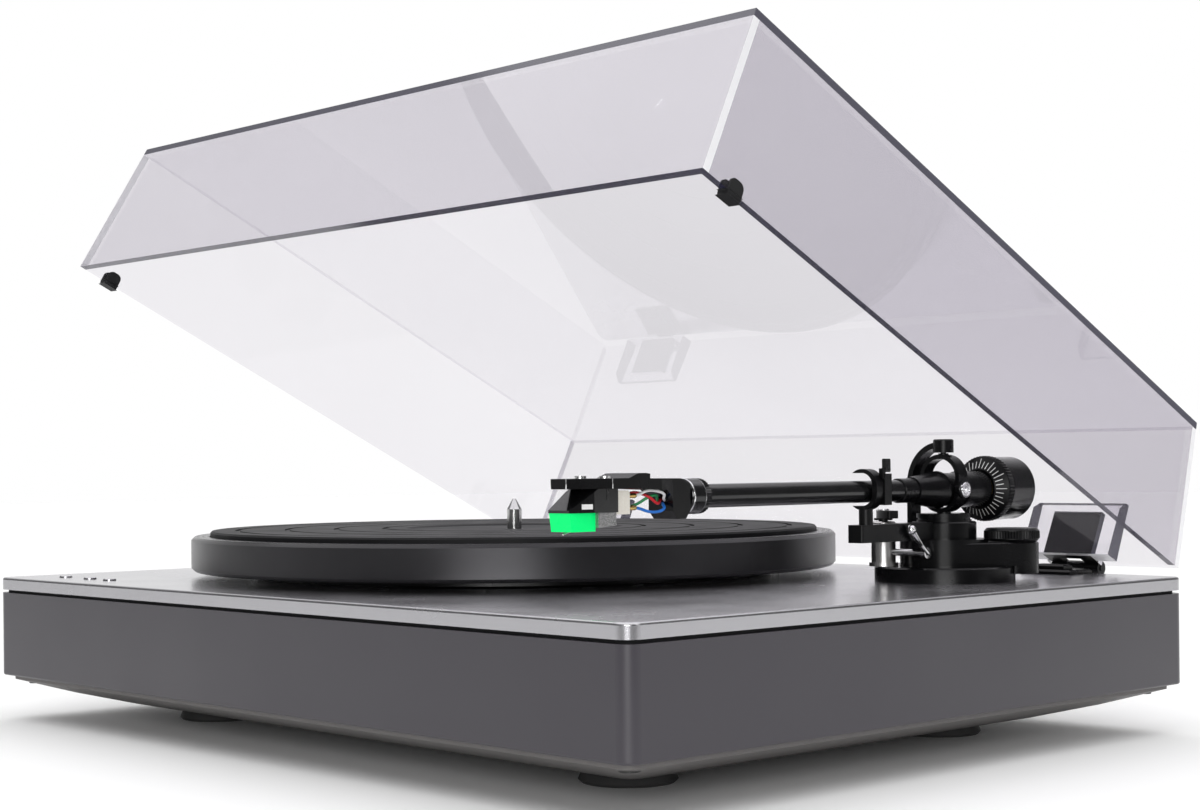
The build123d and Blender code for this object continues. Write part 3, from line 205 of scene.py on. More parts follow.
# Kinds of finish
def surface_finish(name, colour, roughness, metallic=0.0, mottle=0.08, mottle_scale=60.0,
                   grain_scale=2500.0, grain=0.15, grain_depth=0.04 * mm, stretch=(1.0, 1.0, 1.0),
                   roughness_spread=0.06, coat=0.0, coat_roughness=0.1, specular=0.5, painted_glow=0.0):
    """A solid surface: slightly uneven colour and gloss, with a fine grain.

    The last argument makes a moulding give off a little light of its own colour, which is painted light."""
    finish, tree, shader = new_finish(name)
    place = place_node(tree, stretch=stretch)
    cloud = noise_node(tree, place, mottle_scale)
    tree.links.new(clouded_node(tree, cloud, colour, 1 - mottle, 1 + mottle), shader.inputs["Base Color"])
    tree.links.new(spread_node(tree, cloud, roughness - roughness_spread, roughness + roughness_spread),
                   shader.inputs["Roughness"])
    fine = noise_node(tree, place, grain_scale, detail=2.0)
    tree.links.new(bump_node(tree, fine, grain, grain_depth), shader.inputs["Normal"])
    shader.inputs["Metallic"].default_value = metallic
    shader.inputs["Coat Weight"].default_value = coat
    shader.inputs["Coat Roughness"].default_value = coat_roughness
    shader.inputs["Specular IOR Level"].default_value = specular
    shader.inputs["Emission Color"].default_value = (*colour, 1.0)
    shader.inputs["Emission Strength"].default_value = painted_glow
    return finish


def turned_metal(name, colour, roughness, pitch, metallic=1.0):
    """Metal turned on a lathe, with shallow rings about the spindle."""
    finish, tree, shader = new_finish(name)
    place = place_node(tree, centre=(spindle_axis.x, spindle_axis.y, 0.0))
    cloud = noise_node(tree, place, 90.0)
    tree.links.new(clouded_node(tree, cloud, colour, 0.93, 1.05), shader.inputs["Base Color"])
    rings = ring_node(tree, place, pitch, distortion=0.4)
    tree.links.new(spread_node(tree, rings, roughness - 0.04, roughness + 0.05, first=0.0, last=1.0),
                   shader.inputs["Roughness"])
    tree.links.new(bump_node(tree, rings, strength=0.3, distance=0.02 * mm), shader.inputs["Normal"])
    shader.inputs["Metallic"].default_value = metallic
    return finish


def moulded_rubber(name, colour, roughness, ring_pitch=0.0, specular=0.3):
    """Soft black rubber, with moulded rings about the spindle where a pitch is given."""
    finish, tree, shader = new_finish(name)
    place = place_node(tree, centre=(spindle_axis.x, spindle_axis.y, 0.0))
    cloud = noise_node(tree, place, 45.0)
    tree.links.new(clouded_node(tree, cloud, colour, 0.8, 1.25), shader.inputs["Base Color"])
    tree.links.new(spread_node(tree, cloud, roughness - 0.05, roughness + 0.05), shader.inputs["Roughness"])
    relief = noise_node(tree, place, 1800.0, detail=2.0)
    if ring_pitch:
        rings = ring_node(tree, place, ring_pitch)
        relief = math_node(tree, "ADD", math_node(tree, "MULTIPLY", relief, 0.3), rings)
    tree.links.new(bump_node(tree, relief, strength=0.35, distance=0.12 * mm), shader.inputs["Normal"])
    shader.inputs["Specular IOR Level"].default_value = specular
    return finish


# The clear sheets' gloss and dust, and the painted shade and painted highlight colours of their cut edges
sheet_roughness = 0.015
sheet_index = 1.45
dust_share = 0.02
dust_grey = (0.5, 0.48, 0.53)
painted_shade_edge_colour = (0.03, 0.028, 0.055)
painted_highlight_edge_colour = (0.95, 0.95, 0.97)
edge_cover = 0.92

# A face looks along a direction where the cosine between them is above this
facing_limit = 0.8


def facing_node(tree, coordinates, direction):
    """How far a face looks along a direction, from -1 to 1."""
    return vector_node(tree, "DOT_PRODUCT", coordinates.outputs["Normal"], direction).outputs["Value"]


def clear_sheet(name, normal, tint_and_shade, shade_painted_edges=(), highlight_painted_edges=()):
    """Smoke-tinted clear sheet: see-through faces that reflect at a slant, and cut edges in painted shade
    or highlight.

    normal is the sheet's own facing, and its smoke colour is made lighter or darker per sheet as painted
    light and shade.
    The edges listed are directions on the open lid, and every other edge is a glued joint, which stays
    clear."""
    finish, tree, shader = new_finish(name)
    tree.nodes.remove(shader)
    coordinates = tree.nodes.new("ShaderNodeTexCoord")
    cloud = noise_node(tree, coordinates.outputs["Object"], 8.0)
    passing = tree.nodes.new("ShaderNodeBsdfTransparent")
    tree.links.new(clouded_node(tree, cloud, tint_and_shade, 0.99, 1.0), passing.inputs["Color"])
    dust = painted_shader(tree, dust_grey, 0.6)
    gloss = tree.nodes.new("ShaderNodeBsdfGlossy")
    gloss.inputs["Color"].default_value = (1.0, 1.0, 1.0, 1.0)
    gloss.inputs["Roughness"].default_value = sheet_roughness
    fresnel = tree.nodes.new("ShaderNodeFresnel")
    fresnel.inputs["IOR"].default_value = sheet_index
    geometry = tree.nodes.new("ShaderNodeNewGeometry")
    outer = math_node(tree, "SUBTRACT", 1.0, geometry.outputs["Backfacing"])
    flat = math_node(tree, "ABSOLUTE", facing_node(tree, coordinates, normal))
    broad = math_node(tree, "GREATER_THAN", flat, facing_limit)
    mirror = math_node(tree, "MULTIPLY", math_node(tree, "MULTIPLY", fresnel.outputs["Fac"], outer), broad)
    surface = mixed_shader(tree, mirror, mixed_shader(tree, dust_share, passing, dust), gloss)
    # A face that is seen from inside the sheet has its normal turned over, and this sign turns it back
    outward = math_node(tree, "SUBTRACT", math_node(tree, "MULTIPLY", outer, 2.0), 1.0)
    # The listed cut edges get a painted shade or a painted highlight, not light through the sheet
    for directions, colour in ((shade_painted_edges, painted_shade_edge_colour), (highlight_painted_edges, painted_highlight_edge_colour)):
        for direction in directions:
            facing = math_node(tree, "MULTIPLY", facing_node(tree, coordinates, direction), outward)
            shown = math_node(tree, "GREATER_THAN", facing, facing_limit)
            cover = math_node(tree, "MULTIPLY", shown, edge_cover)
            surface = mixed_shader(tree, cover, surface, painted_shader(tree, colour, 0.12))
    tree.links.new(surface.outputs["Shader"], tree.nodes["Material Output"].inputs["Surface"])
    return finish


# Finishes of the body, the motor and the platter
plate_metal = surface_finish("satin_plate", (0.47, 0.465, 0.485), 0.25, metallic=1.0, mottle=0.03,
                             mottle_scale=25.0, grain_scale=4200.0, grain=0.25, grain_depth=0.03 * mm,
                             roughness_spread=0.03)
body_paint = surface_finish("graphite_paint", (0.039, 0.035, 0.044), 0.36, mottle=0.04, mottle_scale=12.0,
                            grain_scale=3000.0, grain=0.12, coat=0.15, coat_roughness=0.3)
pan_moulding = surface_finish("pan_moulding", (0.13, 0.122, 0.12), 0.5, mottle=0.1, grain_scale=1500.0,
                              grain=0.3)
foot_rubber = moulded_rubber("foot_rubber", (0.05, 0.05, 0.05), 0.7)
black_rubber = moulded_rubber("black_rubber", (0.012, 0.012, 0.013), 0.6)
seam_rubber = moulded_rubber("seam_rubber", (0.006, 0.006, 0.007), 0.75)
mat_rubber = moulded_rubber("mat_rubber", (0.006, 0.006, 0.007), 0.58, ring_pitch=10.053 * mm,
                            specular=0.2)
platter_black = turned_metal("platter_black", (0.028, 0.027, 0.03), 0.28, pitch=2.5133 * mm, metallic=0.5)
spindle_steel = turned_metal("spindle_steel", (0.6, 0.6, 0.6), 0.16, pitch=1.885 * mm)
motor_metal = surface_finish("motor_metal", (0.4, 0.4, 0.41), 0.4, metallic=0.9)
winding_copper = surface_finish("winding_copper", (0.5, 0.22, 0.09), 0.35, metallic=0.9,
                                stretch=(1.0, 1.0, 12.0), mottle_scale=300.0, mottle=0.3)
circuit_board = surface_finish("circuit_board", (0.015, 0.1, 0.04), 0.45, mottle=0.3, mottle_scale=400.0)

# Finishes of the tonearm and the small fittings
bright_steel = surface_finish("bright_steel", (0.78, 0.78, 0.79), 0.17, metallic=1.0, mottle=0.03,
                              roughness_spread=0.03)
black_steel = surface_finish("black_steel", (0.05, 0.05, 0.05), 0.4, metallic=1.0)
brushed_steel = surface_finish("brushed_lift", (0.62, 0.61, 0.6), 0.3, metallic=1.0, mottle=0.06,
                               stretch=(1.0, 1.0, 0.06), grain_scale=2600.0, grain=0.4)
brass = surface_finish("brass", (0.6, 0.43, 0.16), 0.28, metallic=1.0)
gold_plate = surface_finish("gold_plate", (0.8, 0.56, 0.2), 0.2, metallic=1.0)
arm_paint = surface_finish("arm_paint", (0.003, 0.003, 0.0035), 0.24, mottle=0.1, grain=0.05,
                           specular=0.22)
arm_gloss = surface_finish("arm_gloss", (0.003, 0.003, 0.0035), 0.2, mottle=0.1, grain=0.03, coat=0.2,
                           coat_roughness=0.12, specular=0.42)
black_moulding = surface_finish("black_moulding", (0.003, 0.003, 0.0035), 0.32, mottle=0.12,
                                grain_scale=1800.0, specular=0.24)
gloss_moulding = surface_finish("gloss_moulding", (0.004, 0.004, 0.0045), 0.14, mottle=0.1, grain=0.02,
                                coat=0.25, specular=0.4)
# The green moulding gives off a little light of its own colour, which is painted light
green_moulding = surface_finish("green_moulding", (0.0, 0.9, 0.2), 0.32, mottle=0.04, grain=0.05,
                                specular=0.12, painted_glow=0.22)
ink_white = surface_finish("ink_white", (0.8, 0.8, 0.79), 0.45, mottle=0.04)


def screw_finish():
    """Bright heads above the headshell, and black shanks below."""
    head_level = plate_top + 45.8 * mm
    black, steel = (0.01, 0.01, 0.01), (0.75, 0.75, 0.75)
    finish, tree, shader = new_finish("cartridge_screws")
    place = place_node(tree)
    head = math_node(tree, "GREATER_THAN", along_node(tree, place, "Z"), head_level)
    tree.links.new(ramp_node(tree, head, (0.0, black), (1.0, steel)), shader.inputs["Base Color"])
    tree.links.new(head, shader.inputs["Metallic"])
    fine = noise_node(tree, place, 1500.0)
    tree.links.new(spread_node(tree, fine, 0.2, 0.32), shader.inputs["Roughness"])
    return finish


def cartridge_block_finish():
    """Speckled grey pole block ahead, and a cream terminal block behind."""
    boundary = arm_pivot.y - 207.6 * mm
    dark_grey, pale_grey = (0.12, 0.12, 0.12), (0.5, 0.5, 0.5)
    dark_cream, pale_cream = (0.72, 0.68, 0.6), (0.8, 0.77, 0.7)
    finish, tree, shader = new_finish("cartridge_blocks")
    place = place_node(tree)
    ahead = math_node(tree, "LESS_THAN", along_node(tree, place, "Y"), boundary)
    speckle = noise_node(tree, place, 2600.0, detail=1.0)
    grey = ramp_node(tree, speckle, (0.4, dark_grey), (0.6, pale_grey))
    cream = ramp_node(tree, speckle, (noise_low, dark_cream), (noise_high, pale_cream))
    mix = tree.nodes.new("ShaderNodeMix")
    mix.data_type = "RGBA"
    tree.links.new(ahead, mix.inputs["Factor"])
    colours = [socket for socket in mix.inputs if socket.type == "RGBA"]
    tree.links.new(cream, colours[0])
    tree.links.new(grey, colours[1])
    mixed = [socket for socket in mix.outputs if socket.type == "RGBA"][0]
    tree.links.new(mixed, shader.inputs["Base Color"])
    tree.links.new(math_node(tree, "MULTIPLY", ahead, 0.7), shader.inputs["Metallic"])
    tree.links.new(spread_node(tree, speckle, 0.35, 0.55), shader.inputs["Roughness"])
    return finish


def opened(direction):
    """A direction on the closed lid, turned to the open lid at rest."""
    return Matrix.Rotation(-lid_open, 3, "X") @ Vector(direction).normalized()


# How far the lid's upright sheets lean in towards the top, as shares of their height
lid_height = 69.7
side_lean = 6.0 / lid_height
end_lean = 4.3 / lid_height

# The lid's own directions as it stands open
lid_up, lid_down = opened((0, 0, 1)), opened((0, 0, -1))
lid_front, lid_back = opened((0, -1, 0)), opened((0, 1, 0))
lid_left, lid_right = opened((-1, 0, 0)), opened((1, 0, 0))

# The lid's sheets and the hinge pockets: facing, smoke colour, edges in painted shade and edges in a
# painted highlight
# The smoke colour differs from sheet to sheet as painted light and shade: lightest on the left sheet,
# darkest on the right
clear_top = clear_sheet("clear_top", lid_up, (0.92, 0.911, 0.93), [lid_front, lid_right])
clear_front = clear_sheet("clear_front", opened((0, -1, end_lean)), (0.925, 0.916, 0.935), [lid_down],
                          [lid_right, lid_left])
clear_rear = clear_sheet("clear_rear", opened((0, 1, end_lean)), (0.935, 0.927, 0.94), [],
                         [lid_right, lid_left])
clear_left = clear_sheet("clear_left", opened((-1, 0, side_lean)), (0.955, 0.948, 0.962))
clear_right = clear_sheet("clear_right", opened((1, 0, side_lean)), (0.87, 0.858, 0.884), [lid_down])
clear_pocket = clear_sheet("clear_pocket", opened((0, 1, end_lean)), (0.93, 0.92, 0.94),
                           [lid_up, lid_right, lid_left], [lid_down])

node_finishes = {
    "plinth_body": body_paint, "base_pan": pan_moulding, "feet": foot_rubber, "base_screws": black_steel,
    "plate_gasket": seam_rubber, "top_plate": plate_metal, "motor_frame": motor_metal,
    "motor_stator": winding_copper, "spindle_bearing": brass, "drive_rotor": black_moulding,
    "platter": platter_black, "platter_mat": mat_rubber, "spindle": spindle_steel,
    "power_button": plate_metal, "speed_button_33": plate_metal, "speed_button_45": plate_metal,
    "switch_board": circuit_board, "control_board": circuit_board, "rear_panel": black_moulding,
    "output_sockets": gold_plate, "power_inlet": gloss_moulding, "ground_post": bright_steel,
    "signal_leads": black_rubber, "arm_base": arm_paint, "arm_base_nut": bright_steel,
    "arm_housing": arm_paint, "arm_turret": arm_paint, "bearing_bracket": arm_paint,
    "gimbal_ring": arm_paint, "bearing_screws": bright_steel, "arm_block": arm_paint,
    "arm_tube": arm_gloss, "rear_stub": arm_paint, "headshell": arm_paint,
    "headshell_screws": screw_finish(), "headshell_collar": arm_gloss, "cartridge_body": gloss_moulding,
    "cartridge_blocks": cartridge_block_finish(), "stylus_body": green_moulding,
    "stylus_cantilever": brushed_steel, "cartridge_leads": gold_plate, "weight_sleeve": brass,
    "counterweight": arm_gloss, "dial_ring": black_moulding, "antiskate_knob": black_moulding,
    "armrest_bracket": black_moulding, "armrest_clip": black_moulding, "rest_latch": gloss_moulding,
    "lift_cylinder": brushed_steel, "cue_lever": bright_steel, "lift_platform": black_moulding,
    "hinge_pockets": clear_pocket, "hinge_blades": black_moulding, "hinge_feet": black_moulding,
    "lid_bumpers": black_rubber, "lid_top": clear_top, "lid_front": clear_front,
    "lid_rear": clear_rear, "lid_left": clear_left, "lid_right": clear_right,
}
for name, node in nodes.items():
    node.data.materials.clear()
    node.data.materials.append(node_finishes[name])


# Small pieces
def arm_point(along, side, height):
    """A point in millimetres along the arm, to the right as seen from the front, and above the plate."""
    foot = arm_pivot + mm * (along * arm_direction + side * arm_side)
    return Vector((foot.x, foot.y, plate_top + mm * height))


def add_piece(name, mesh, body, finish):
    """Makes an object of a mesh, shades it smooth between sharp edges and lets it ride on a body."""
    bmesh.ops.remove_doubles(mesh, verts=mesh.verts, dist=0.0001 * mm)
    bmesh.ops.recalc_face_normals(mesh, faces=mesh.faces)
    data = bpy.data.meshes.new(name)
    mesh.to_mesh(data)
    mesh.free()
    data.shade_smooth()
    data.set_sharp_from_angle(angle=radians(35.0))
    data.materials.append(finish)
    piece = bpy.data.objects.new(name, data)
    bpy.context.scene.collection.objects.link(piece)
    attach(piece, body)
    return piece


def turn_outline(mesh, place, axis, outline, closed=True, steps=40):
    """Turns an outline of (radius, along) points about an axis through a place."""
    across = axis.orthogonal().normalized()
    points = [mesh.verts.new(place + mm * (radius * across + along * axis)) for radius, along in outline]
    ends = points[1:] + points[:1] if closed else points[1:]
    edges = [mesh.edges.new(pair) for pair in zip(points, ends)]
    bmesh.ops.spin(mesh, geom=points + edges, cent=place, axis=axis, angle=2 * pi, steps=steps,
                   use_merge=True)


def stretch_cube(vertices, middle, first, second, third):
    """Sets a two-unit cube's vertices out along three half sides in millimetres, about a middle."""
    for vertex in vertices:
        x, y, z = vertex.co
        vertex.co = middle + mm * (x * first + y * second + z * third)


def add_bar(mesh, middle, first, second, third, bevel):
    """A bevelled bar about its middle, from three half sides."""
    made = bmesh.ops.create_cube(mesh, size=2.0)["verts"]
    stretch_cube(made, middle, first, second, third)
    edges = list({edge for vertex in made for edge in vertex.link_edges})
    bmesh.ops.bevel(mesh, geom=edges, offset=mm * bevel, affect="EDGES", segments=2, profile=0.5,
                    material=-1)


def add_tab(mesh, middle, first, second, third):
    """A tab with a rounded top about its middle, from three half sides."""
    others = set(mesh.verts)
    made = bmesh.ops.create_cube(mesh, size=2.0)["verts"]
    edges = {edge for vertex in made for edge in vertex.link_edges}
    top = [edge for edge in edges if all(vertex.co.z > 0 for vertex in edge.verts)
           and abs(edge.verts[0].co.y - edge.verts[1].co.y) > 1]
    bmesh.ops.bevel(mesh, geom=top, offset=0.75, affect="EDGES", segments=6, profile=0.5, material=-1)
    stretch_cube(set(mesh.verts) - others, middle, first, second, third)


def dial_graduations():
    """Pale inlays in the radial grooves of the force dial's cone."""
    count, long_every = 36, 3
    width, depth, bevel = 0.3, 0.14, 0.04
    lip_radius, front, cone_rate, reach = 8.6, 25.8, 0.5405, 5.55
    long_share, short_share = 0.86, 0.62
    lip_gap, end_gap, sunk = 0.5, 0.06, 0.02
    slope = atan(cone_rate)
    mesh = bmesh.new()
    for index in range(count):
        length = reach * (short_share if index % long_every else long_share)
        turn = 2 * pi * index / count
        outward = sin(turn) * arm_side + Vector((0.0, 0.0, -cos(turn)))
        around = outward.cross(arm_direction)
        along_cone = cos(slope) * outward - sin(slope) * arm_direction
        off_cone = sin(slope) * outward + cos(slope) * arm_direction
        middle = lip_gap + length * cos(slope) / 2
        place = arm_point(0, 0, axis_height)
        place += mm * ((lip_radius + middle) * outward - (front + middle * cone_rate) * arm_direction)
        place -= mm * (depth + sunk) * off_cone
        half_length = length / 2 - end_gap
        add_bar(mesh, place, half_length * along_cone, width / 2 * around, depth * off_cone, bevel)
    add_piece("dial_graduations", mesh, "dial_ring", ink_white)


def bearing_screw_rims():
    """Two raised rings on each side bearing screw: a wide rim, and a small ring about its centre."""
    seat, sunk = 11.7, -0.1
    rim = [(2.1, sunk), (2.1, 0.1), (2.3, 0.3), (2.9, 0.3), (3.15, 0.1), (3.15, sunk)]
    ring = [(1.5, sunk), (1.5, 0.12), (1.3, 0.2), (0.9, 0.2), (0.9, sunk)]
    mesh = bmesh.new()
    for side in (-1, 1):
        place = arm_point(0, side * seat, axis_height)
        turn_outline(mesh, place, side * arm_side, rim)
        turn_outline(mesh, place, side * arm_side, ring)
    add_piece("bearing_screw_rims", mesh, "arm_gimbal", bright_steel)


def collar_bands():
    """Bright bands turned into the headshell collar: a wide one ahead and a fine one behind."""
    radius, proud, crown = 6.72, 0.12, 0.6
    mesh = bmesh.new()
    for along, half_width in ((165.7, 0.35), (159.6, 0.1)):
        band = [(radius, -half_width), (radius + proud, -crown * half_width),
                (radius + proud, crown * half_width), (radius, half_width)]
        turn_outline(mesh, arm_point(along, 0, axis_height), arm_direction, band, steps=56)
    add_piece("collar_bands", mesh, "headshell_collar", bright_steel)


def cartridge_window():
    """The small pale window low in each cheek of the cartridge."""
    forward, out, height = 222.5, 6.86, 36.5
    half_length, half_depth, half_height, bevel = 2.3, 0.12, 0.85, 0.06
    taper = radians(11.3)
    mesh = bmesh.new()
    for side in (-1, 1):
        along = cos(taper) * arm_direction - sin(taper) * side * arm_side
        across = cos(taper) * arm_side + sin(taper) * side * arm_direction
        add_bar(mesh, arm_point(forward, side * out, height), half_length * along, half_depth * across,
                Vector((0, 0, half_height)), bevel)
    add_piece("cartridge_window", mesh, "tonearm", ink_white)


def headshell_edges():
    """Bright chamfers on the upright corners of the headshell."""
    shoulder, nose = (211.0, 8.26), (229.9, 3.84)
    middle, half_height = 44.65, 1.8
    half_length, half_width, bevel = 0.2, 0.1, 0.05
    mesh = bmesh.new()
    for side in (-1, 1):
        for along, out in (shoulder, nose):
            add_bar(mesh, arm_point(along, side * out, middle), half_length * arm_direction,
                    half_width * arm_side, Vector((0, 0, half_height)), bevel)
    add_piece("headshell_edges", mesh, "tonearm", bright_steel)


def lift_screw():
    """The height screw on top of the lift's pad, with a socket in its head."""
    ahead, right, top = 21.0, -16.5, 30.5
    head = [(0, -0.2), (2.5, -0.2), (2.5, 0.45), (2.3, 0.65), (0.5, 0.65), (0.5, 0.4), (0, 0.4)]
    place = Vector((arm_pivot.x + mm * right, arm_pivot.y - mm * ahead, plate_top + mm * top))
    mesh = bmesh.new()
    turn_outline(mesh, place, Vector((0, 0, 1)), head, closed=False)
    add_piece("lift_screw", mesh, "lift_platform", bright_steel)


# The cartridge's four contact pins, and the place where the leads leave the sleeves on them
pin_side, upper_pin, lower_pin = 3.6, 40.0, 35.6
lead_start = 195.0


def contact_sleeves():
    """Gilt sleeves on the four pins, each with a crimped waist."""
    length, radius, waist, mouth, back = 5.5, 0.95, 0.8, 0.7, -0.4
    sleeve = [(0.0, back), (mouth, back), (radius, 0.1), (radius, 1.6), (waist, 1.8), (waist, 2.3),
              (radius, 2.5), (radius, length), (0.0, length)]
    mesh = bmesh.new()
    for height in (upper_pin, lower_pin):
        for side in (-pin_side, pin_side):
            place = arm_point(lead_start, side, height)
            turn_outline(mesh, place, arm_direction, sleeve, closed=False, steps=20)
    sleeves = add_piece("contact_sleeves", mesh, "tonearm", gold_plate)
    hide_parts("cartridge_leads")


def lead_curve(name, points, finish):
    """A round lead on a smooth curve through the arm's own frame."""
    curve = bpy.data.curves.new(name, "CURVE")
    curve.dimensions = "3D"
    curve.bevel_depth = 0.56 * mm
    curve.bevel_resolution = 3
    curve.resolution_u = 8
    curve.use_fill_caps = True
    line = curve.splines.new("NURBS")
    line.points.add(len(points) - 1)
    for point, place in zip(line.points, points):
        point.co = (*arm_point(*place), 1.0)
    line.order_u = 3
    line.use_endpoint_u = True
    curve.materials.append(finish)
    piece = bpy.data.objects.new(name, curve)
    bpy.context.scene.collection.objects.link(piece)
    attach(piece, "tonearm")
    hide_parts("cartridge_leads")


def cartridge_leads():
    """The four coloured leads, which loop from the sleeves back to the headshell's neck."""
    neck, entry = 177.4, 37.4
    loops = {
        "white": ((0.86, 0.86, 0.85),
                  [(lead_start, pin_side, upper_pin), (192.5, 3.7, 40.4), (190.0, 4.8, 42.0),
                   (184.5, 5.4, 41.6), (180.4, 5.0, 40.4), (179.6, 3.2, 38.6), (neck, 1.8, entry + 0.6)]),
        "blue": ((0.01, 0.16, 0.62),
                 [(lead_start, pin_side, lower_pin), (192.5, 3.7, 35.3), (189.0, 4.6, 33.9),
                  (184.0, 5.2, 33.8), (180.2, 4.8, 35.0), (179.4, 2.8, 36.6), (neck, 0.9, entry - 0.5)]),
        "red": ((0.62, 0.01, 0.02),
                [(lead_start, -pin_side, upper_pin), (192.5, -3.6, 40.3), (189.5, -1.6, 41.4),
                 (186.0, 2.2, 39.6), (183.0, 3.6, 36.6), (180.0, 1.6, 37.4), (neck, -0.3, entry + 0.7)]),
        "green": ((0.01, 0.27, 0.08),
                  [(lead_start, -pin_side, lower_pin), (192.5, -3.6, 35.4), (189.0, -1.2, 36.6),
                   (186.0, 1.6, 39.4), (182.5, 2.6, 40.2), (180.0, 0.4, 38.6), (neck, -1.4, entry)]),
    }
    for colour, (paint, points) in loops.items():
        jacket = surface_finish(f"{colour}_jacket", paint, 0.34, mottle=0.06, grain=0.05)
        lead_curve(f"{colour}_lead", points, jacket)


def lid_clips():
    """Slim rubber clips over the side sheets' lower edge: a tab on each face and a foot below."""
    wall, sheet, half_length, bevel = 0.9, 3.3, 3.6, 0.4
    foot_top, tab_foot, tab_top = 2.2, 1.0, 7.6
    set_back, bumper_wall = 5.0, 1.3
    across = Vector((1, 0, 0))
    corners = [vertex.co for vertex in nodes["lid_bumpers"].data.vertices]
    lowest = min(corner.dot(lid_up) for corner in corners)
    middle = min(corner.dot(lid_back) for corner in corners) + mm * set_back
    outer = max(corner.x for corner in corners) - mm * bumper_wall
    rise = (tab_top + tab_foot) / 2
    lean_in = (rise - foot_top) * side_lean
    mesh = bmesh.new()
    for side in (-1, 1):
        base = side * outer * across + middle * lid_back + lowest * lid_up
        foot = base + mm * (foot_top / 2 * lid_up - side * sheet / 2 * across)
        add_bar(mesh, foot, half_length * lid_back, (sheet / 2 + wall) * across, foot_top / 2 * lid_up,
                bevel)
        half_height = (tab_top - tab_foot) / 2 * (lid_up - side * side_lean * across)
        for offset in (wall / 2, -sheet - wall / 2):
            tab = base + mm * (rise * lid_up + side * (offset - lean_in) * across)
            add_tab(mesh, tab, half_length * lid_back, wall / 2 * across, half_height)
    clips = add_piece("lid_clips", mesh, "lid", black_rubber)
    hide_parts("lid_bumpers")


dial_graduations()
bearing_screw_rims()
collar_bands()
cartridge_window()
headshell_edges()
lift_screw()
contact_sleeves()
cartridge_leads()
lid_clips()

# The camera's place in metres, and the level direction that it looks in
camera_yaw = radians(47.546)
view_direction = Vector((-sin(camera_yaw), cos(camera_yaw), 0.0))
camera_place = Vector((0.68785, -0.64309, 0.11942))

# The floor's half side, and how far ahead of the camera it begins, in metres
floor_half = 6.0
floor_start = 0.35

# The light of the dim room around the camera and of the backdrop ahead of it
room_light, backdrop_light = 0.17, 1.0

# The room ends at the first of these cosines to the view, and the backdrop is full from the second
room_end, backdrop_start = 0.5, 0.96

# Only this share of a direction's height counts, so that the backdrop stands tall
height_share = 0.45


def build_stage():
    """A pale floor that ends a little way ahead of the camera, so the faces also mirror the dim room."""
    floor_mesh = bmesh.new()
    bmesh.ops.create_grid(floor_mesh, x_segments=1, y_segments=1, size=floor_half)
    everything = floor_mesh.verts[:] + floor_mesh.edges[:] + floor_mesh.faces[:]
    front = camera_place + floor_start * view_direction
    bmesh.ops.bisect_plane(floor_mesh, geom=everything, plane_co=front, plane_no=view_direction,
                           clear_inner=True)
    mesh = bpy.data.meshes.new("floor")
    floor_mesh.to_mesh(mesh)
    floor_mesh.free()
    floor = bpy.data.objects.new("floor", mesh)
    bpy.context.scene.collection.objects.link(floor)
    finish, tree, shader = new_finish("floor_white")
    cloud = noise_node(tree, place_node(tree), 1.0)
    white = ramp_node(tree, cloud, (0.0, (0.93, 0.93, 0.93)), (1.0, (0.95, 0.95, 0.95)))
    tree.links.new(white, shader.inputs["Base Color"])
    shader.inputs["Roughness"].default_value = 0.9
    shader.inputs["Specular IOR Level"].default_value = 0.1
    mesh.materials.append(finish)


def build_world():
    """A white backdrop ahead and a dim room around the camera, which itself sees plain white."""
    world = bpy.data.worlds.new("studio")
    world.use_nodes = True
    tree = world.node_tree
    background = tree.nodes["Background"]
    background.inputs["Color"].default_value = (1.0, 1.0, 1.0, 1.0)
    coordinates = tree.nodes.new("ShaderNodeTexCoord")
    lowered = vector_node(tree, "MULTIPLY", coordinates.outputs["Generated"], (1.0, 1.0, height_share))
    heading = vector_node(tree, "NORMALIZE", lowered.outputs["Vector"])
    ahead = vector_node(tree, "DOT_PRODUCT", heading.outputs["Vector"], view_direction)
    studio = spread_node(tree, ahead.outputs["Value"], room_light, backdrop_light, room_end, backdrop_start)
    rays = tree.nodes.new("ShaderNodeLightPath")
    seen = tree.nodes.new("ShaderNodeMix")
    tree.links.new(rays.outputs["Is Camera Ray"], seen.inputs["Factor"])
    tree.links.new(studio, seen.inputs["A"])
    seen.inputs["B"].default_value = 1.0
    tree.links.new(seen.outputs["Result"], background.inputs["Strength"])
    bpy.context.scene.world = world


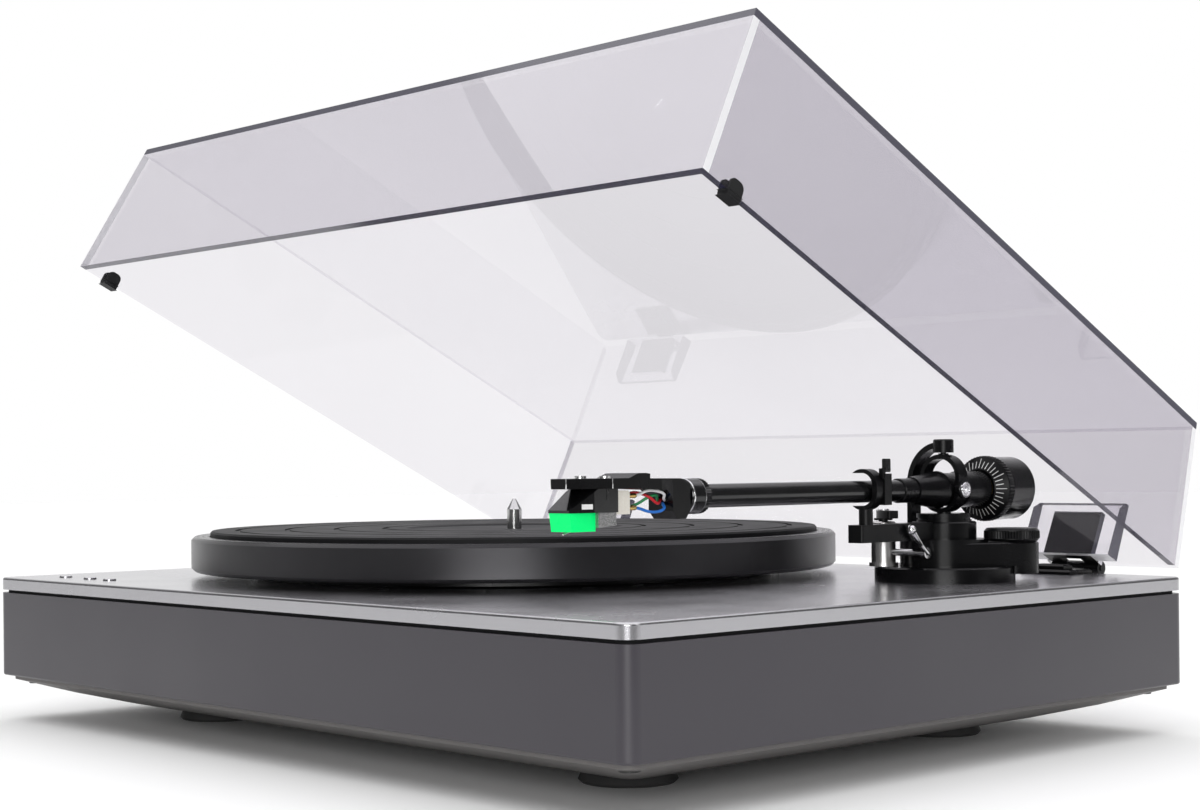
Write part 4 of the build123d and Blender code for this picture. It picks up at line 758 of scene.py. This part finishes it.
def area_light(name, place, aim, size, power):
    """A rectangular softbox that faces a point."""
    light = bpy.data.lights.new(name, "AREA")
    light.shape = "RECTANGLE"
    light.size, light.size_y = size
    light.energy = power
    lamp = bpy.data.objects.new(name, light)
    lamp.location = place
    lamp.rotation_euler = (Vector(aim) - Vector(place)).to_track_quat("-Z", "Y").to_euler()
    bpy.context.scene.collection.objects.link(lamp)


def build_light():
    """Soft light from above, a wide softbox beside the camera and a weak one on the right."""
    sun = bpy.data.lights.new("overhead", "SUN")
    sun.energy = 2.5
    sun.angle = radians(100.0)
    bpy.context.scene.collection.objects.link(bpy.data.objects.new("overhead", sun))
    area_light("front_softbox", place=(1.42, -1.58, 0.45), aim=(0.06, -0.11, 0.08), size=(1.0, 0.7),
               power=18.0)
    area_light("right_softbox", place=(1.5, 0.4, 0.7), aim=(0.0, 0.0, 0.1), size=(0.5, 1.0), power=2.0)


def build_camera():
    """A level view from the front right, a little above the plate."""
    # The photograph's size, its focal length and the point that the camera faces, in pixels
    width, height, focal = 1200.0, 810.0, 2023.09
    across, down = 563.81, 464.48
    sensor = 36.0
    pitch, roll = radians(0.017), radians(-0.562)
    forward = Vector((-sin(camera_yaw) * cos(pitch), cos(camera_yaw) * cos(pitch), sin(pitch)))
    right = Vector((cos(camera_yaw), sin(camera_yaw), 0.0))
    up = right.cross(forward)
    rolled_right = cos(roll) * right + sin(roll) * up
    rolled_up = cos(roll) * up - sin(roll) * right
    camera = bpy.data.cameras.new("camera")
    camera.sensor_width = sensor
    camera.lens = focal * sensor / width
    camera.shift_x = (width / 2 - across) / width
    camera.shift_y = (down - height / 2) / width
    camera.clip_start = 0.01
    camera.clip_end = 50.0
    holder = bpy.data.objects.new("camera", camera)
    turn = Matrix((rolled_right, rolled_up, -forward)).transposed().to_4x4()
    holder.matrix_world = Matrix.Translation(camera_place) @ turn
    bpy.context.scene.collection.objects.link(holder)
    bpy.context.scene.camera = holder


build_stage()
build_world()
build_light()
build_camera()
bpy.context.scene.view_settings.view_transform = "Standard"
bpy.context.scene.cycles.transparent_max_bounces = 32
